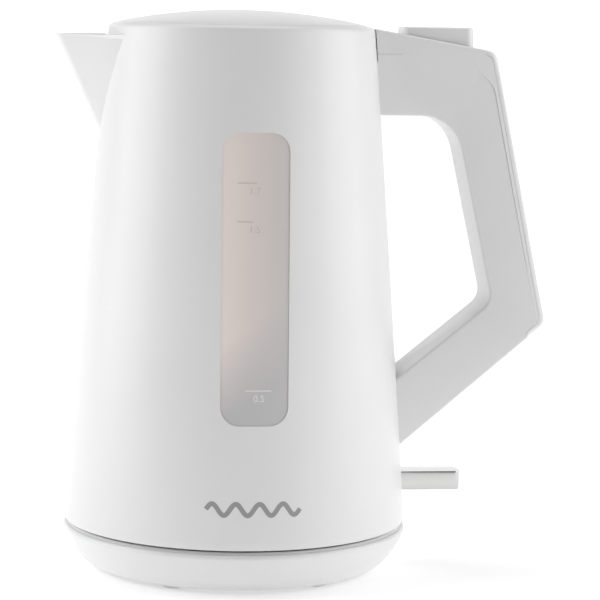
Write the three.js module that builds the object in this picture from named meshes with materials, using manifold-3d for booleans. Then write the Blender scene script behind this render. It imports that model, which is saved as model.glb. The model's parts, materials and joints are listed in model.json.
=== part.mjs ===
// Cordless electric kettle on its round power base.
// Millimetres, +Z up. X runs from the spout (-X) to the handle (+X), and the water window faces -Y.
// The origin is on the table, under the middle of the kettle's overall box.

import * as THREE from 'three';
import { mergeVertices } from 'three/addons/utils/BufferGeometryUtils.js';
import { ConvexGeometry } from 'three/addons/geometries/ConvexGeometry.js';
import Module from 'manifold-3d';

const wasm = await Module();
wasm.setup();

// ---------------------------------------------------------------- driving dimensions

const SPOUT_REACH = 81.4; // jug axis to the spout's tip
const HANDLE_REACH = 136.0; // jug axis to the handle's outer corner
const AXIS_X = (SPOUT_REACH - HANDLE_REACH) / 2; // the jug axis in the part's frame
const JUG_SEAT = 21; // height of the jug's bottom edge above the table

const GAP = 0.3; // between pieces that touch
const LID_GAP = 0.55; // round the lid, so that it can swing

// Jug: a cone that curls in slightly at its foot.
const RIM_Z = 218;
const RIM_R = 58.3;
const FOOT_R = 76.1;
const FOOT_CURL = 0.6;
const FOOT_CURL_Z = 35;
const WALL = 2.6;
const RIM_INNER_R = 55.3;
const RIM_LIP = 8;
const RIM_ROUND = 2.6;
const LEDGE_Z = 24;
const LEDGE_R = 67;
const LEDGE_T = 3;
const ROUND = 48; // facets round the jug and base
const SMALL_ROUND = 24; // facets round the connector's parts

// Spout beak: a rounded V in plan that leans out from the jug.
const BEAK_TOP_Z = 212.8;
const BEAK_LOW_Z = 169;
const BEAK_LOW_REACH = 61.4;
const BEAK_NOSE_R_TOP = 6.2;
const BEAK_NOSE_R_LOW = 8;
const BEAK_HALF_ANGLE_TOP = 37.9;
const BEAK_HALF_ANGLE_LOW = 46.8;
const BEAK_WALL = 2.2;
const BEAK_BRIDGE_Z = 208.5;

// Water window on the -Y side.
const WINDOW_W = 28.6;
const WINDOW_Z = [52.3, 174];
const WINDOW_CORNER = 8;
const WINDOW_FLANGE = 3;
const WINDOW_FLANGE_T = 1.5;
const WINDOW_RECESS = 0.35;

// Handle: a D of three straight runs, cut square across its width.
const HANDLE_W = 28;
const HANDLE_EDGE = 1.6;
const HANDLE_WALL = 2.4;
const HANDLE_OUTLINE = [
  // x, z, corner radius
  [56, 217.55, 0],
  [56, 179.8, 0],
  [93.15, 179.8, 19],
  [111.65, 97.9, 8],
  [62, 57.2, 0],
  [62, 25.3, 0],
  [136.5, 88.5, 5],
  [111, 208.2, 5],
];
const BACK_COVER_T = 2.3;
const HINGE_COVER_X = 69;
const HINGE_COVER_Z = 206.6;

// Lid: a shallow dome with a rear tab that carries the hinge.
const LID_TOP_Z = 224.4;
const LID_EDGE_Z = 218.5;
const LID_R = RIM_INNER_R - LID_GAP;
const LID_SKIRT_R = 53.6;
const LID_SKIRT_Z = 212;
const LID_INNER_Z = 206;
const HINGE_X = 62.2;
const HINGE_Z = 214.4;
const BARREL_R = 2.2;
const PIN_R = 0.9;
const TAB_W = 22;
const NOTCH_W = TAB_W + 0.8;
const NOTCH_Z = 203.5;

// Lid button, its catch and spring.
const BUTTON_X = [66.9, 102.2];
const BUTTON_W = 20;
const BUTTON_CORNER = 3;
const BUTTON_TOP_Z = 218.4;
const BUTTON_LOW_Z = 203;
const CARRIER_Z = 187;

// Switch lever low on the handle side.
const LEVER_Z = [12, 19.2];
const LEVER_W = 12.4;
const LEVER_END_X = 102.6;
const LEVER_PIVOT_X = 66;
const LEVER_PIVOT_Z = 15.6;

// Heater and connector, heights from the jug's bottom edge.
const PLATE_Z = 29.3;
const PLATE_R = 70.5;
const ELEMENT_R = 42;
const ELEMENT_TUBE_R = 3.3;
const ELEMENT_Z = 23.2;
const CONNECTOR_R = 21.9;
const BOTTOM_COVER_R = 72.4;
const JUG_SCREW_R = 68.8; // pitch radius

// Power base, heights from the table.
const BASE_R = 76.5;
const BASE_TOP_Z = 19.2;
const BASE_LOW_R = 63.2;
const BASE_LOW_Z = 1.5;
const BASE_WALL = 2;
const DISH_R = 65.5;
const DISH_Z = 15.5;
const SOCKET_R = 19.4;
const SOCKET_TOP_Z = 27.2;
const BASE_SCREW_R = 40; // pitch radius
const FOOT_PITCH_R = 56.5;
const FOOT_PAD_R = 4.6;

// ---------------------------------------------------------------- materials

function plastic(name, colour, roughness) {
  return new THREE.MeshStandardMaterial({ name, color: colour, roughness, metalness: 0 });
}

function metal(name, colour, roughness) {
  return new THREE.MeshStandardMaterial({ name, color: colour, roughness, metalness: 1 });
}

const WHITE = plastic('white gloss plastic', 0xf2f2f1, 0.25);
const WHITE_SATIN = plastic('white satin plastic', 0xeeeeec, 0.4);
const WINDOW = plastic('translucent window plastic', 0xd9d3ce, 0.2);
const INNER = plastic('heat resistant grey plastic', 0xb9bab8, 0.5);
const BLACK = plastic('black phenolic plastic', 0x242424, 0.55);
const SILICONE = plastic('silicone rubber', 0xdededb, 0.6);
const FOOT = plastic('rubber foot', 0xcfcfcc, 0.8);
const CHROME = metal('chrome plating', 0xe6e6e6, 0.08);
const STEEL = metal('stainless steel', 0xc4c5c6, 0.3);
const BRASS = metal('brass', 0xc9a45c, 0.35);
const SPRING = metal('spring steel', 0x9a9da0, 0.35);

// ---------------------------------------------------------------- solids

const UP = new THREE.Vector3(0, 0, 1);

/** Turn a closed three.js geometry into a manifold solid with its faces pointing out. */
function solid(geometry) {
  const bare = geometry.clone();
  bare.deleteAttribute('normal');
  bare.deleteAttribute('uv');
  const merged = mergeVertices(bare, 1e-4);
  const vertices = merged.attributes.position.array;
  const source = merged.index.array;
  const kept = [];
  for (let i = 0; i < source.length; i += 3) {
    const [a, b, c] = [source[i], source[i + 1], source[i + 2]];
    if (a !== b && b !== c && c !== a) kept.push(a, b, c);
  }
  if (signedVolume(vertices, kept) < 0) {
    for (let i = 0; i < kept.length; i += 3) [kept[i], kept[i + 1]] = [kept[i + 1], kept[i]];
  }
  const mesh = new wasm.Mesh({
    numProp: 3,
    vertProperties: new Float32Array(vertices),
    triVerts: new Uint32Array(kept),
  });
  return new wasm.Manifold(mesh);
}

function signedVolume(vertices, triangles) {
  const corner = (i) => new THREE.Vector3().fromArray(vertices, 3 * triangles[i]);
  let volume = 0;
  for (let i = 0; i < triangles.length; i += 3) {
    volume += corner(i).dot(corner(i + 1).cross(corner(i + 2))) / 6;
  }
  return volume;
}

function toGeometry(body) {
  const mesh = body.getMesh();
  const geometry = new THREE.BufferGeometry();
  geometry.setAttribute('position', new THREE.BufferAttribute(new Float32Array(mesh.vertProperties), 3));
  geometry.setIndex(new THREE.BufferAttribute(new Uint32Array(mesh.triVerts), 1));
  geometry.computeVertexNormals();
  return geometry;
}

function join(...bodies) {
  return bodies.reduce((sum, body) => sum.add(body));
}

function cut(body, ...tools) {
  return tools.reduce((rest, tool) => rest.subtract(tool), body);
}

/** Box from its lowest and highest corners. */
function block(x, y, z) {
  const geometry = new THREE.BoxGeometry(x[1] - x[0], y[1] - y[0], z[1] - z[0]);
  geometry.translate((x[0] + x[1]) / 2, (y[0] + y[1]) / 2, (z[0] + z[1]) / 2);
  return solid(geometry);
}

/** Round bar between two points. */
function bar(from, to, radius, facets = 16) {
  const start = new THREE.Vector3(...from);
  const run = new THREE.Vector3(...to).sub(start);
  const geometry = new THREE.CylinderGeometry(radius, radius, run.length(), facets);
  geometry.rotateX(Math.PI / 2);
  geometry.translate(0, 0, run.length() / 2);
  geometry.applyQuaternion(new THREE.Quaternion().setFromUnitVectors(UP, run.normalize()));
  geometry.translate(...from);
  return solid(geometry);
}

/** Body of revolution about Z from a list of [radius, height]. */
function turned(profile, facets = ROUND) {
  const points = profile.map(([radius, height]) => new THREE.Vector2(radius, height));
  const geometry = new THREE.LatheGeometry(points, facets);
  geometry.rotateX(Math.PI / 2);
  return solid(geometry);
}

/** Plain ring about Z. */
function ring(inner, outer, z, facets = ROUND) {
  return turned([[inner, z[0]], [outer, z[0]], [outer, z[1]], [inner, z[1]], [inner, z[0]]], facets);
}

/** Round disc about Z. */
function disc(radius, z, facets = ROUND) {
  return turned([[0, z[0]], [radius, z[0]], [radius, z[1]], [0, z[1]]], facets);
}

/** Points of a polygon whose corners [u, v, radius] are rounded by arcs. */
function roundedPoints(corners, steps = 5) {
  const points = [];
  corners.forEach(([u, v, radius], i) => {
    const corner = new THREE.Vector2(u, v);
    if (radius <= 0) {
      points.push(corner);
      return;
    }
    const before = new THREE.Vector2(...corners[(i + corners.length - 1) % corners.length]);
    const after = new THREE.Vector2(...corners[(i + 1) % corners.length]);
    const back = before.sub(corner).normalize();
    const ahead = after.sub(corner).normalize();
    const half = Math.acos(THREE.MathUtils.clamp(back.dot(ahead), -1, 1)) / 2;
    const centre = back.clone().add(ahead).normalize();
    centre.multiplyScalar(radius / Math.sin(half)).add(corner);
    const first = back.clone().multiplyScalar(radius / Math.tan(half)).add(corner).sub(centre);
    const last = ahead.clone().multiplyScalar(radius / Math.tan(half)).add(corner).sub(centre);
    const turn = Math.atan2(first.cross(last), first.dot(last));
    for (let k = 0; k <= steps; k += 1) {
      points.push(first.clone().rotateAround(new THREE.Vector2(), (turn * k) / steps).add(centre));
    }
  });
  return points;
}

/** Corners of a polygon moved inwards by a distance (outwards if it is negative). */
function inset(corners, distance) {
  const area = corners.reduce((sum, [u, v], i) => {
    const [nextU, nextV] = corners[(i + 1) % corners.length];
    return sum + (u * nextV - v * nextU) / 2;
  }, 0);
  const side = Math.sign(area);
  const edges = corners.map(([u, v], i) => {
    const [nextU, nextV] = corners[(i + 1) % corners.length];
    const along = new THREE.Vector2(nextU - u, nextV - v).normalize();
    const inward = new THREE.Vector2(-along.y, along.x).multiplyScalar(side * distance);
    return { along, point: new THREE.Vector2(u, v).add(inward) };
  });
  return corners.map(([, , radius], i) => {
    const one = edges[(i + corners.length - 1) % corners.length];
    const two = edges[i];
    const bend = one.along.cross(two.along);
    const t = two.point.clone().sub(one.point).cross(two.along) / bend;
    const corner = one.along.clone().multiplyScalar(t).add(one.point);
    const convex = bend * side > 0;
    const newRadius = radius > 0 ? Math.max(radius + (convex ? -distance : distance), 0.3) : 0;
    return [corner.x, corner.y, newRadius];
  });
}

/** Side-view outline (x, z) made into a plate centred on y, with an optional chamfer. */
function sidePlate(points, width, chamfer = 0, y = 0) {
  const geometry = new THREE.ExtrudeGeometry(new THREE.Shape(points), {
    depth: width - 2 * chamfer,
    bevelEnabled: chamfer > 0,
    bevelThickness: chamfer,
    bevelSize: chamfer,
    bevelOffset: -chamfer,
    bevelSegments: 1,
  });
  geometry.rotateX(Math.PI / 2);
  geometry.translate(0, y + width / 2 - chamfer, 0);
  return solid(geometry);
}

/** Top-view outline (x, y) made into a plate between two heights. */
function topPlate(points, z) {
  const geometry = new THREE.ExtrudeGeometry(new THREE.Shape(points), {
    depth: z[1] - z[0],
    bevelEnabled: false,
  });
  geometry.translate(0, 0, z[0]);
  return solid(geometry);
}

/** Rectangle corners for roundedPoints. */
function rectangle(u, v, radius) {
  return [[u[0], v[0], radius], [u[1], v[0], radius], [u[1], v[1], radius], [u[0], v[1], radius]];
}

/** Round wire along a list of points. */
function wire(points, radius, steps, facets = 6) {
  const path = new THREE.CatmullRomCurve3(points.map((point) => new THREE.Vector3(...point)));
  const section = [];
  for (let i = 0; i < facets; i += 1) {
    const turn = (2 * Math.PI * i) / facets;
    section.push(new THREE.Vector2(radius * Math.cos(turn), radius * Math.sin(turn)));
  }
  const geometry = new THREE.ExtrudeGeometry(new THREE.Shape(section), { steps, extrudePath: path });
  return solid(geometry);
}

/** Points of a coil about the Z axis of its own frame. */
function coilPoints(radius, height, turns, perTurn = 8) {
  const points = [];
  for (let i = 0; i <= turns * perTurn; i += 1) {
    const turn = (2 * Math.PI * i) / perTurn;
    points.push([radius * Math.cos(turn), radius * Math.sin(turn), (height * i) / (turns * perTurn)]);
  }
  return points;
}

/** Angles in radians of equally spaced pieces. */
function spaced(count, firstDegrees) {
  return Array.from({ length: count }, (_, i) => THREE.MathUtils.degToRad(firstDegrees + (360 / count) * i));
}

// ---------------------------------------------------------------- scene graph

const kettle = new THREE.Group();
kettle.position.x = AXIS_X;
const base = new THREE.Group();
const jug = new THREE.Group();
jug.position.z = JUG_SEAT;
kettle.add(base, jug);

function piece(parent, name, body, material) {
  const mesh = new THREE.Mesh(toGeometry(body), material);
  mesh.name = name;
  parent.add(mesh);
}

// ---------------------------------------------------------------- jug body

/** Outer radius of the jug's wall at a height. */
function wallRadius(z) {
  const curl = FOOT_CURL * Math.max(0, 1 - z / FOOT_CURL_Z) ** 2;
  return FOOT_R + ((RIM_R - FOOT_R) * z) / RIM_Z - curl;
}

const WALL_HEIGHTS = [0, 10, 22, FOOT_CURL_Z, RIM_Z];

/** Solid cone whose surface is the jug's outside moved out by a distance. */
function jugCone(distance, z = [0, RIM_Z + 8]) {
  const between = WALL_HEIGHTS.filter((height) => height > z[0] && height < z[1]);
  const side = [z[0], ...between, z[1]].map((height) => [wallRadius(height) + distance, height]);
  return turned([[0, z[0]], ...side, [0, z[1]]]);
}

/** Shell between two distances from the jug's outside. */
function jugShellBand(outer, inner, z) {
  return cut(jugCone(outer, z), jugCone(inner, [z[0] - 1, z[1] + 1]));
}

/** Quarter round from the rim's side to its top. */
function rimRound(radius) {
  return [0, 45, 90].map((degrees) => {
    const turn = THREE.MathUtils.degToRad(degrees);
    return [RIM_R - radius + radius * Math.cos(turn), RIM_Z - radius + radius * Math.sin(turn)];
  });
}

/** Solid V-shaped beak, its surface moved inwards by a distance. */
function beak(distance, lowZ, topZ) {
  const span = BEAK_TOP_Z - BEAK_LOW_Z;
  const points = [];
  for (const z of [lowZ, topZ]) {
    const rise = (z - BEAK_LOW_Z) / span;
    const reach = BEAK_LOW_REACH + (SPOUT_REACH - BEAK_LOW_REACH) * rise;
    const angle = BEAK_HALF_ANGLE_LOW + (BEAK_HALF_ANGLE_TOP - BEAK_HALF_ANGLE_LOW) * rise;
    const half = THREE.MathUtils.degToRad(angle);
    const noseR = BEAK_NOSE_R_LOW + (BEAK_NOSE_R_TOP - BEAK_NOSE_R_LOW) * rise;
    const noseX = -reach + noseR;
    const radius = noseR - distance;
    for (const side of [-1, 1]) {
      for (const share of [0, 0.25, 0.5, 0.75, 1]) {
        const turn = Math.PI - side * share * (Math.PI / 2 - half);
        points.push(new THREE.Vector3(noseX + radius * Math.cos(turn), radius * Math.sin(turn), z));
      }
      const tailX = -45;
      const tailY = (tailX - noseX) * Math.tan(half) + radius / Math.cos(half);
      points.push(new THREE.Vector3(tailX, side * tailY, z));
    }
  }
  return solid(new ConvexGeometry(points));
}

function windowOutline(distance) {
  const corners = rectangle([-WINDOW_W / 2, WINDOW_W / 2], WINDOW_Z, WINDOW_CORNER);
  return roundedPoints(inset(corners, distance));
}

function jugShell() {
  const outside = [
    [wallRadius(0) - 1.2, 0],
    ...[1.2, 10, 22, FOOT_CURL_Z].map((z) => [wallRadius(z), z]),
    ...rimRound(RIM_ROUND),
  ];
  const outer = turned([[0, 0], ...outside, [0, RIM_Z]]);
  const inside = [
    [wallRadius(0) - WALL, -1],
    ...[10, LEDGE_Z].map((z) => [wallRadius(z) - WALL, z]),
    [LEDGE_R, LEDGE_Z],
    [LEDGE_R, LEDGE_Z + LEDGE_T],
    ...[LEDGE_Z + LEDGE_T, FOOT_CURL_Z, RIM_Z - RIM_LIP].map((z) => [wallRadius(z) - WALL, z]),
    [RIM_INNER_R, RIM_Z - RIM_LIP + 1],
    [RIM_INNER_R, RIM_Z + 1],
  ];
  const cavity = turned([[0, -1], ...inside, [0, RIM_Z + 1]]);
  const screwBosses = spaced(3, 30).map((turn) => {
    const [x, y] = [JUG_SCREW_R * Math.cos(turn), JUG_SCREW_R * Math.sin(turn)];
    return bar([x, y, 3.2], [x, y, LEDGE_Z + 1], 3.4);
  });
  const handleBosses = [-8, 8].map((y) => bar([58, y, 196], [64.2, y, 196], 2.6));
  const bridge = jugShellBand(1, -WALL - 4, [BEAK_BRIDGE_Z, RIM_Z + 4]);
  const beakHollow = cut(beak(BEAK_WALL, BEAK_LOW_Z + 5.5, BEAK_TOP_Z + 1), bridge);
  let body = cut(join(outer, beak(0, BEAK_LOW_Z - 4, BEAK_TOP_Z)), cavity);
  body = cut(body, beakHollow);
  body = join(body, ...screwBosses, ...handleBosses);
  const screwHoles = spaced(3, 30).map((turn) => {
    const [x, y] = [JUG_SCREW_R * Math.cos(turn), JUG_SCREW_R * Math.sin(turn)];
    return bar([x, y, 2], [x, y, 16], 1.8);
  });
  const handleHoles = [-8, 8].map((y) => bar([60.5, y, 196], [65, y, 196], 1.6));
  const windowHole = sidePlate(windowOutline(0), 60, 0, -60);
  const hingeNotch = block([48, 70], [-NOTCH_W / 2, NOTCH_W / 2], [NOTCH_Z, RIM_Z + 2]);
  const leverSlot = block([68, 80], [-LEVER_W / 2 - 0.5, LEVER_W / 2 + 0.5], [LEVER_Z[0] - 2.4, LEVER_Z[1] + 0.5]);
  return cut(body, ...screwHoles, ...handleHoles, windowHole, hingeNotch, leverSlot);
}

function waterWindow() {
  const spanZ = [WINDOW_Z[0] - 8, WINDOW_Z[1] + 8];
  const pane = jugShellBand(-WINDOW_RECESS, -WALL - GAP - WINDOW_FLANGE_T, spanZ);
  const flange = jugShellBand(-WALL - GAP, -WALL - GAP - WINDOW_FLANGE_T, spanZ);
  const inOpening = sidePlate(windowOutline(GAP), 60, 0, -60);
  const behindWall = sidePlate(windowOutline(-WINDOW_FLANGE), 60, 0, -60);
  return join(pane.intersect(inOpening), flange.intersect(behindWall));
}

const FILTER_Z = [174, 203];
const FILTER_HALF = 25;
const FILTER_BORDER = 4;

function filterFrame() {
  const band = jugShellBand(-WALL - 0.4, -WALL - 2.4, FILTER_Z);
  const front = block([-75, -30], [-FILTER_HALF, FILTER_HALF], [FILTER_Z[0] - 1, FILTER_Z[1] + 1]);
  const open = [FILTER_Z[0] + FILTER_BORDER, FILTER_Z[1] - FILTER_BORDER];
  const half = FILTER_HALF - FILTER_BORDER;
  return cut(band.intersect(front), block([-75, -30], [-half, half], open));
}

function filterMesh() {
  const z = [FILTER_Z[0] + FILTER_BORDER + GAP, FILTER_Z[1] - FILTER_BORDER - GAP];
  const half = FILTER_HALF - FILTER_BORDER - GAP;
  const band = jugShellBand(-WALL - 1.1, -WALL - 1.7, z);
  const sheet = band.intersect(block([-75, -30], [-half, half], [z[0] - 1, z[1] + 1]));
  const [columns, rows] = [6, 3];
  const [pitchY, pitchZ] = [(2 * half) / columns, (z[1] - z[0]) / rows];
  const holes = [];
  for (let i = 0; i < columns; i += 1) {
    for (let k = 0; k < rows; k += 1) {
      const y = -half + i * pitchY;
      const low = z[0] + k * pitchZ;
      holes.push(block([-75, -30], [y + 0.8, y + pitchY - 0.8], [low + 0.8, low + pitchZ - 0.8]));
    }
  }
  return cut(sheet, ...holes);
}

piece(jug, 'jug_shell', jugShell(), WHITE);
piece(jug, 'water_window', waterWindow(), WINDOW);
piece(jug, 'spout_filter_frame', filterFrame(), WHITE_SATIN);
piece(jug, 'spout_filter_mesh', filterMesh(), STEEL);

// ---------------------------------------------------------------- handle

/** Height of the handle's sloping top at x. */
function handleTopZ(x) {
  const [startX, startZ] = HANDLE_OUTLINE[0];
  const [endX, endZ] = HANDLE_OUTLINE.at(-1);
  return startZ + ((endZ - startZ) * (x - startX)) / (endX - startX);
}

function handleSolid() {
  return sidePlate(roundedPoints(HANDLE_OUTLINE), HANDLE_W, HANDLE_EDGE);
}

/** Strip along the grip's outer edge, from just before the top corner to just past the lower one. */
function backStrip(thickness, trim) {
  const whole = sidePlate(roundedPoints(HANDLE_OUTLINE), HANDLE_W + 4);
  const core = sidePlate(roundedPoints(inset(HANDLE_OUTLINE, thickness)), HANDLE_W + 6);
  const top = [107 + trim, handleTopZ(107) + 2];
  const low = [131 + trim, 86 + trim];
  const zone = [
    [top[0], top[1], 0],
    [top[0] - 1, 203, 0],
    [low[0] - 8, low[1] + 8, 0],
    [low[0], low[1] - 8, 0],
    [150, low[1] - 8, 0],
    [150, top[1], 0],
  ];
  return cut(whole, core).intersect(sidePlate(roundedPoints(zone), HANDLE_W + 8));
}

/** Space of the lid hinge's cover, at the inner end of the handle's top. */
function hingeCoverZone(trim) {
  return block([50, HINGE_COVER_X - trim], [-20, 20], [HINGE_COVER_Z + trim, RIM_Z + 8]);
}

function buttonOutline(distance) {
  return roundedPoints(inset(rectangle(BUTTON_X, [-BUTTON_W / 2, BUTTON_W / 2], BUTTON_CORNER), distance), 3);
}

const BUTTON_WELL = topPlate(buttonOutline(-GAP), [BUTTON_LOW_Z - 1, BUTTON_TOP_Z + 4]);

function handleShell() {
  const hollow = cut(
    sidePlate(roundedPoints(inset(HANDLE_OUTLINE, HANDLE_WALL)), HANDLE_W - 2 * HANDLE_WALL),
    jugCone(GAP + HANDLE_WALL),
  );
  const latchSlot = block([55, 67], [-5.4, 5.4], [CARRIER_Z + 3, HINGE_COVER_Z + 1]);
  const bossHoles = [-8, 8].map((y) => bar([55, y, 196], [66, y, 196], 2.9));
  return cut(
    handleSolid(),
    jugCone(GAP),
    hollow,
    backStrip(BACK_COVER_T + GAP, -GAP),
    hingeCoverZone(-GAP),
    BUTTON_WELL,
    latchSlot,
    ...bossHoles,
  );
}

function handleBackCover() {
  return handleSolid().intersect(backStrip(BACK_COVER_T, 0));
}

function hingeCover() {
  const outer = cut(handleSolid().intersect(hingeCoverZone(0)), jugCone(GAP));
  const slot = block([50, HINGE_X], [-NOTCH_W / 2, NOTCH_W / 2], [200, RIM_Z + 6]);
  const barrelRoom = bar([HINGE_X, -NOTCH_W / 2, HINGE_Z], [HINGE_X, NOTCH_W / 2, HINGE_Z], 3.5, 24);
  const springRoom = block([50, HINGE_X + 3.4], [-5.9, 5.9], [200, HINGE_Z - 2]);
  const latchRoom = block([50, 66.6], [-4.6, 4.6], [200, 208]);
  const bore = bar([HINGE_X, -13, HINGE_Z], [HINGE_X, 13, HINGE_Z], PIN_R + GAP);
  return cut(outer, slot, barrelRoom, springRoom, latchRoom, bore, BUTTON_WELL);
}

piece(jug, 'handle_shell', handleShell(), WHITE);
piece(jug, 'handle_back_cover', handleBackCover(), WHITE);
piece(jug, 'hinge_cover', hingeCover(), WHITE);

for (const [name, y] of [['handle_screw_left', -8], ['handle_screw_right', 8]]) {
  const screw = join(bar([64.6, y, 196], [66.8, y, 196], 3.6), bar([61.2, y, 196], [65, y, 196], 1.25));
  piece(jug, name, screw, STEEL);
}

// ---------------------------------------------------------------- lid

/** Height of the lid's dome at a radius. */
function domeZ(radius) {
  return LID_TOP_Z - (LID_TOP_Z - LID_EDGE_Z) * (radius / LID_R) ** 2;
}

const DOME_RADII = [18, 32, 44, LID_R - 0.7];

function lidCover() {
  const top = DOME_RADII.map((radius) => [radius, domeZ(radius)]);
  const under = DOME_RADII.slice(0, 3).map((radius) => [radius, domeZ(radius) - 2]).reverse();
  const dome = turned([
    [0, LID_TOP_Z],
    ...top,
    [LID_R, LID_EDGE_Z - 0.6],
    [LID_R, LID_EDGE_Z - 1.6],
    [LID_SKIRT_R, LID_EDGE_Z - 1.8],
    [LID_SKIRT_R, LID_SKIRT_Z],
    [LID_SKIRT_R - 1.8, LID_SKIRT_Z],
    [LID_SKIRT_R - 1.8, domeZ(LID_SKIRT_R) - 2.4],
    ...under,
    [0, LID_TOP_Z - 2],
  ]);
  const tabOutline = [
    [LID_SKIRT_R - 3.5, LID_EDGE_Z - 1.2, 0],
    [LID_SKIRT_R - 3.5, HINGE_Z - 1.2, 0],
    [HINGE_X, HINGE_Z - 1.2, 0],
    [HINGE_X, HINGE_Z + BARREL_R, 0],
    [57.5, HINGE_Z + 2.7, 0],
  ];
  const tab = join(
    sidePlate(roundedPoints(tabOutline), TAB_W),
    bar([HINGE_X, -TAB_W / 2, HINGE_Z], [HINGE_X, TAB_W / 2, HINGE_Z], BARREL_R, 20),
  );
  const bore = bar([HINGE_X, -TAB_W, HINGE_Z], [HINGE_X, TAB_W, HINGE_Z], PIN_R + GAP);
  const springRoom = block([HINGE_X - 3.4, HINGE_X + 5], [-5.8, 5.8], [HINGE_Z - 5, HINGE_Z + 5]);
  return cut(join(dome, tab), bore, springRoom);
}

function lidInner() {
  const rim = LID_SKIRT_R - 0.2;
  return turned([
    [0, LID_INNER_Z + 3.5],
    [44, LID_INNER_Z + 3.5],
    [46, LID_INNER_Z],
    [rim - 1.6, LID_INNER_Z],
    [rim - 1.6, LID_INNER_Z + 3.3],
    [rim, LID_INNER_Z + 3.3],
    [rim, LID_SKIRT_Z - GAP],
    [0, LID_SKIRT_Z - GAP],
  ]);
}

function lidSeal() {
  const z = [LID_INNER_Z + 0.2, LID_INNER_Z + 3];
  return turned([
    [LID_SKIRT_R - 1.5, z[0]],
    [LID_SKIRT_R + 0.2, z[0] + 0.4],
    [LID_SKIRT_R + 0.7, z[1]],
    [LID_SKIRT_R - 1.5, z[1]],
    [LID_SKIRT_R - 1.5, z[0]],
  ]);
}

piece(jug, 'lid_cover', lidCover(), WHITE);
piece(jug, 'lid_inner', lidInner(), WHITE_SATIN);
piece(jug, 'lid_seal', lidSeal(), SILICONE);
piece(jug, 'lid_hinge_pin', bar([HINGE_X, -12.8, HINGE_Z], [HINGE_X, 12.8, HINGE_Z], PIN_R), STEEL);

/** Torsion spring round the hinge pin, with one leg forward and one leg down. */
function lidSpring() {
  const coil = coilPoints(1.7, 8, 4).map(([u, v, along]) => [HINGE_X + u, along - 4, HINGE_Z + v]);
  const first = [[HINGE_X + 1.9, -4.4, HINGE_Z - 6.5], [HINGE_X + 1.8, -4.2, HINGE_Z - 3]];
  const last = [[HINGE_X + 1.8, 4.2, HINGE_Z - 3], [HINGE_X + 1.9, 4.4, HINGE_Z - 6]];
  return wire([...first, ...coil, ...last], 0.35, 56, 4);
}
piece(jug, 'lid_spring', lidSpring(), SPRING);

// ---------------------------------------------------------------- lid button and catch

const CAM_X = 76; // left face of the button's cam leg
const SPRING_X = 93;

function lidButton() {
  const skin = topPlate(buttonOutline(0), [BUTTON_LOW_Z, BUTTON_TOP_Z]);
  const hollow = topPlate(buttonOutline(2), [BUTTON_LOW_Z - 1, BUTTON_TOP_Z - 2.4]);
  const cam = sidePlate(roundedPoints([
    [CAM_X, BUTTON_TOP_Z - 2, 0],
    [CAM_X, BUTTON_LOW_Z - 6, 0],
    [CAM_X + 4, BUTTON_LOW_Z - 2, 0],
    [CAM_X + 4, BUTTON_TOP_Z - 2, 0],
  ]), 6);
  const spigot = bar([SPRING_X, 0, BUTTON_LOW_Z - 1], [SPRING_X, 0, BUTTON_TOP_Z - 2], 2.4);
  return join(cut(skin, hollow), cam, spigot);
}

/** Sliding catch: a ramp under the button's cam, and a nose that reaches through the jug's notch. */
function lidLatch() {
  const plate = sidePlate(roundedPoints([
    [61.4, CARRIER_Z + 3.5, 0],
    [CAM_X + 9, CARRIER_Z + 3.5, 0],
    [CAM_X + 9, BUTTON_LOW_Z + 0.5, 0],
    [CAM_X + 7, BUTTON_LOW_Z + 0.5, 0],
    [CAM_X - 0.5, BUTTON_LOW_Z - 7, 0],
    [CAM_X - 0.5, CARRIER_Z + 5.5, 0],
    [63.2, CARRIER_Z + 5.5, 0],
    [63.2, 207.5, 0],
    [57.2, 207.5, 0],
    [57.2, 205.3, 0],
    [61.4, 205.3, 0],
  ]), 8);
  return plate;
}

function buttonCarrier() {
  const plate = block([65, 101], [-11, 11], [CARRIER_Z, CARRIER_Z + 2.2]);
  const post = bar([SPRING_X, 0, CARRIER_Z + 2], [SPRING_X, 0, CARRIER_Z + 5], 2.4);
  const rails = [-1, 1].map((side) => {
    const y = [side * 4.4, side * 6].sort((a, b) => a - b);
    return block([68, 88], y, [CARRIER_Z + 2, CARRIER_Z + 6]);
  });
  return join(plate, post, ...rails);
}

function buttonSpring() {
  const low = CARRIER_Z + 2.2 + 0.75;
  const height = BUTTON_LOW_Z - 0.8 - 0.75 - low;
  const points = coilPoints(3.6, height, 4).map(([u, v, z]) => [SPRING_X + u, v, low + z]);
  return wire(points, 0.45, 48, 5);
}

piece(jug, 'lid_button', lidButton(), WHITE);
piece(jug, 'lid_latch', lidLatch(), WHITE_SATIN);
piece(jug, 'button_carrier', buttonCarrier(), INNER);
piece(jug, 'button_spring', buttonSpring(), SPRING);

// ---------------------------------------------------------------- heater and control

const STEAM_FOOT = [61.5, 0, 24.5];
const STEAM_HEAD = [52.4, 0, 197];

function steamTube() {
  return cut(bar(STEAM_FOOT, STEAM_HEAD, 3.5, 20), bar([61.6, 0, 22.6], [52.25, 0, 199.8], 2.5, 20));
}

function heatingPlate() {
  const hole = bar([61.5, 0, PLATE_Z - 3], [61.5, 0, PLATE_Z + 3], 4.1, 20);
  return cut(disc(PLATE_R, [PLATE_Z, PLATE_Z + 0.9]), hole);
}

/** Sheathed ring element with its two cold ends turned down. */
function heatingElement() {
  const arc = [];
  for (let degrees = -150; degrees <= 150; degrees += 15) {
    const turn = THREE.MathUtils.degToRad(degrees);
    arc.push([ELEMENT_R * Math.cos(turn), ELEMENT_R * Math.sin(turn), ELEMENT_Z]);
  }
  const ends = [arc[0], arc.at(-1)].map(([x, y, z]) => bar([x, y, z - 9], [x, y, z], 1.6, 10));
  return join(wire(arc, ELEMENT_TUBE_R, 30, 8), ...ends);
}

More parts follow.
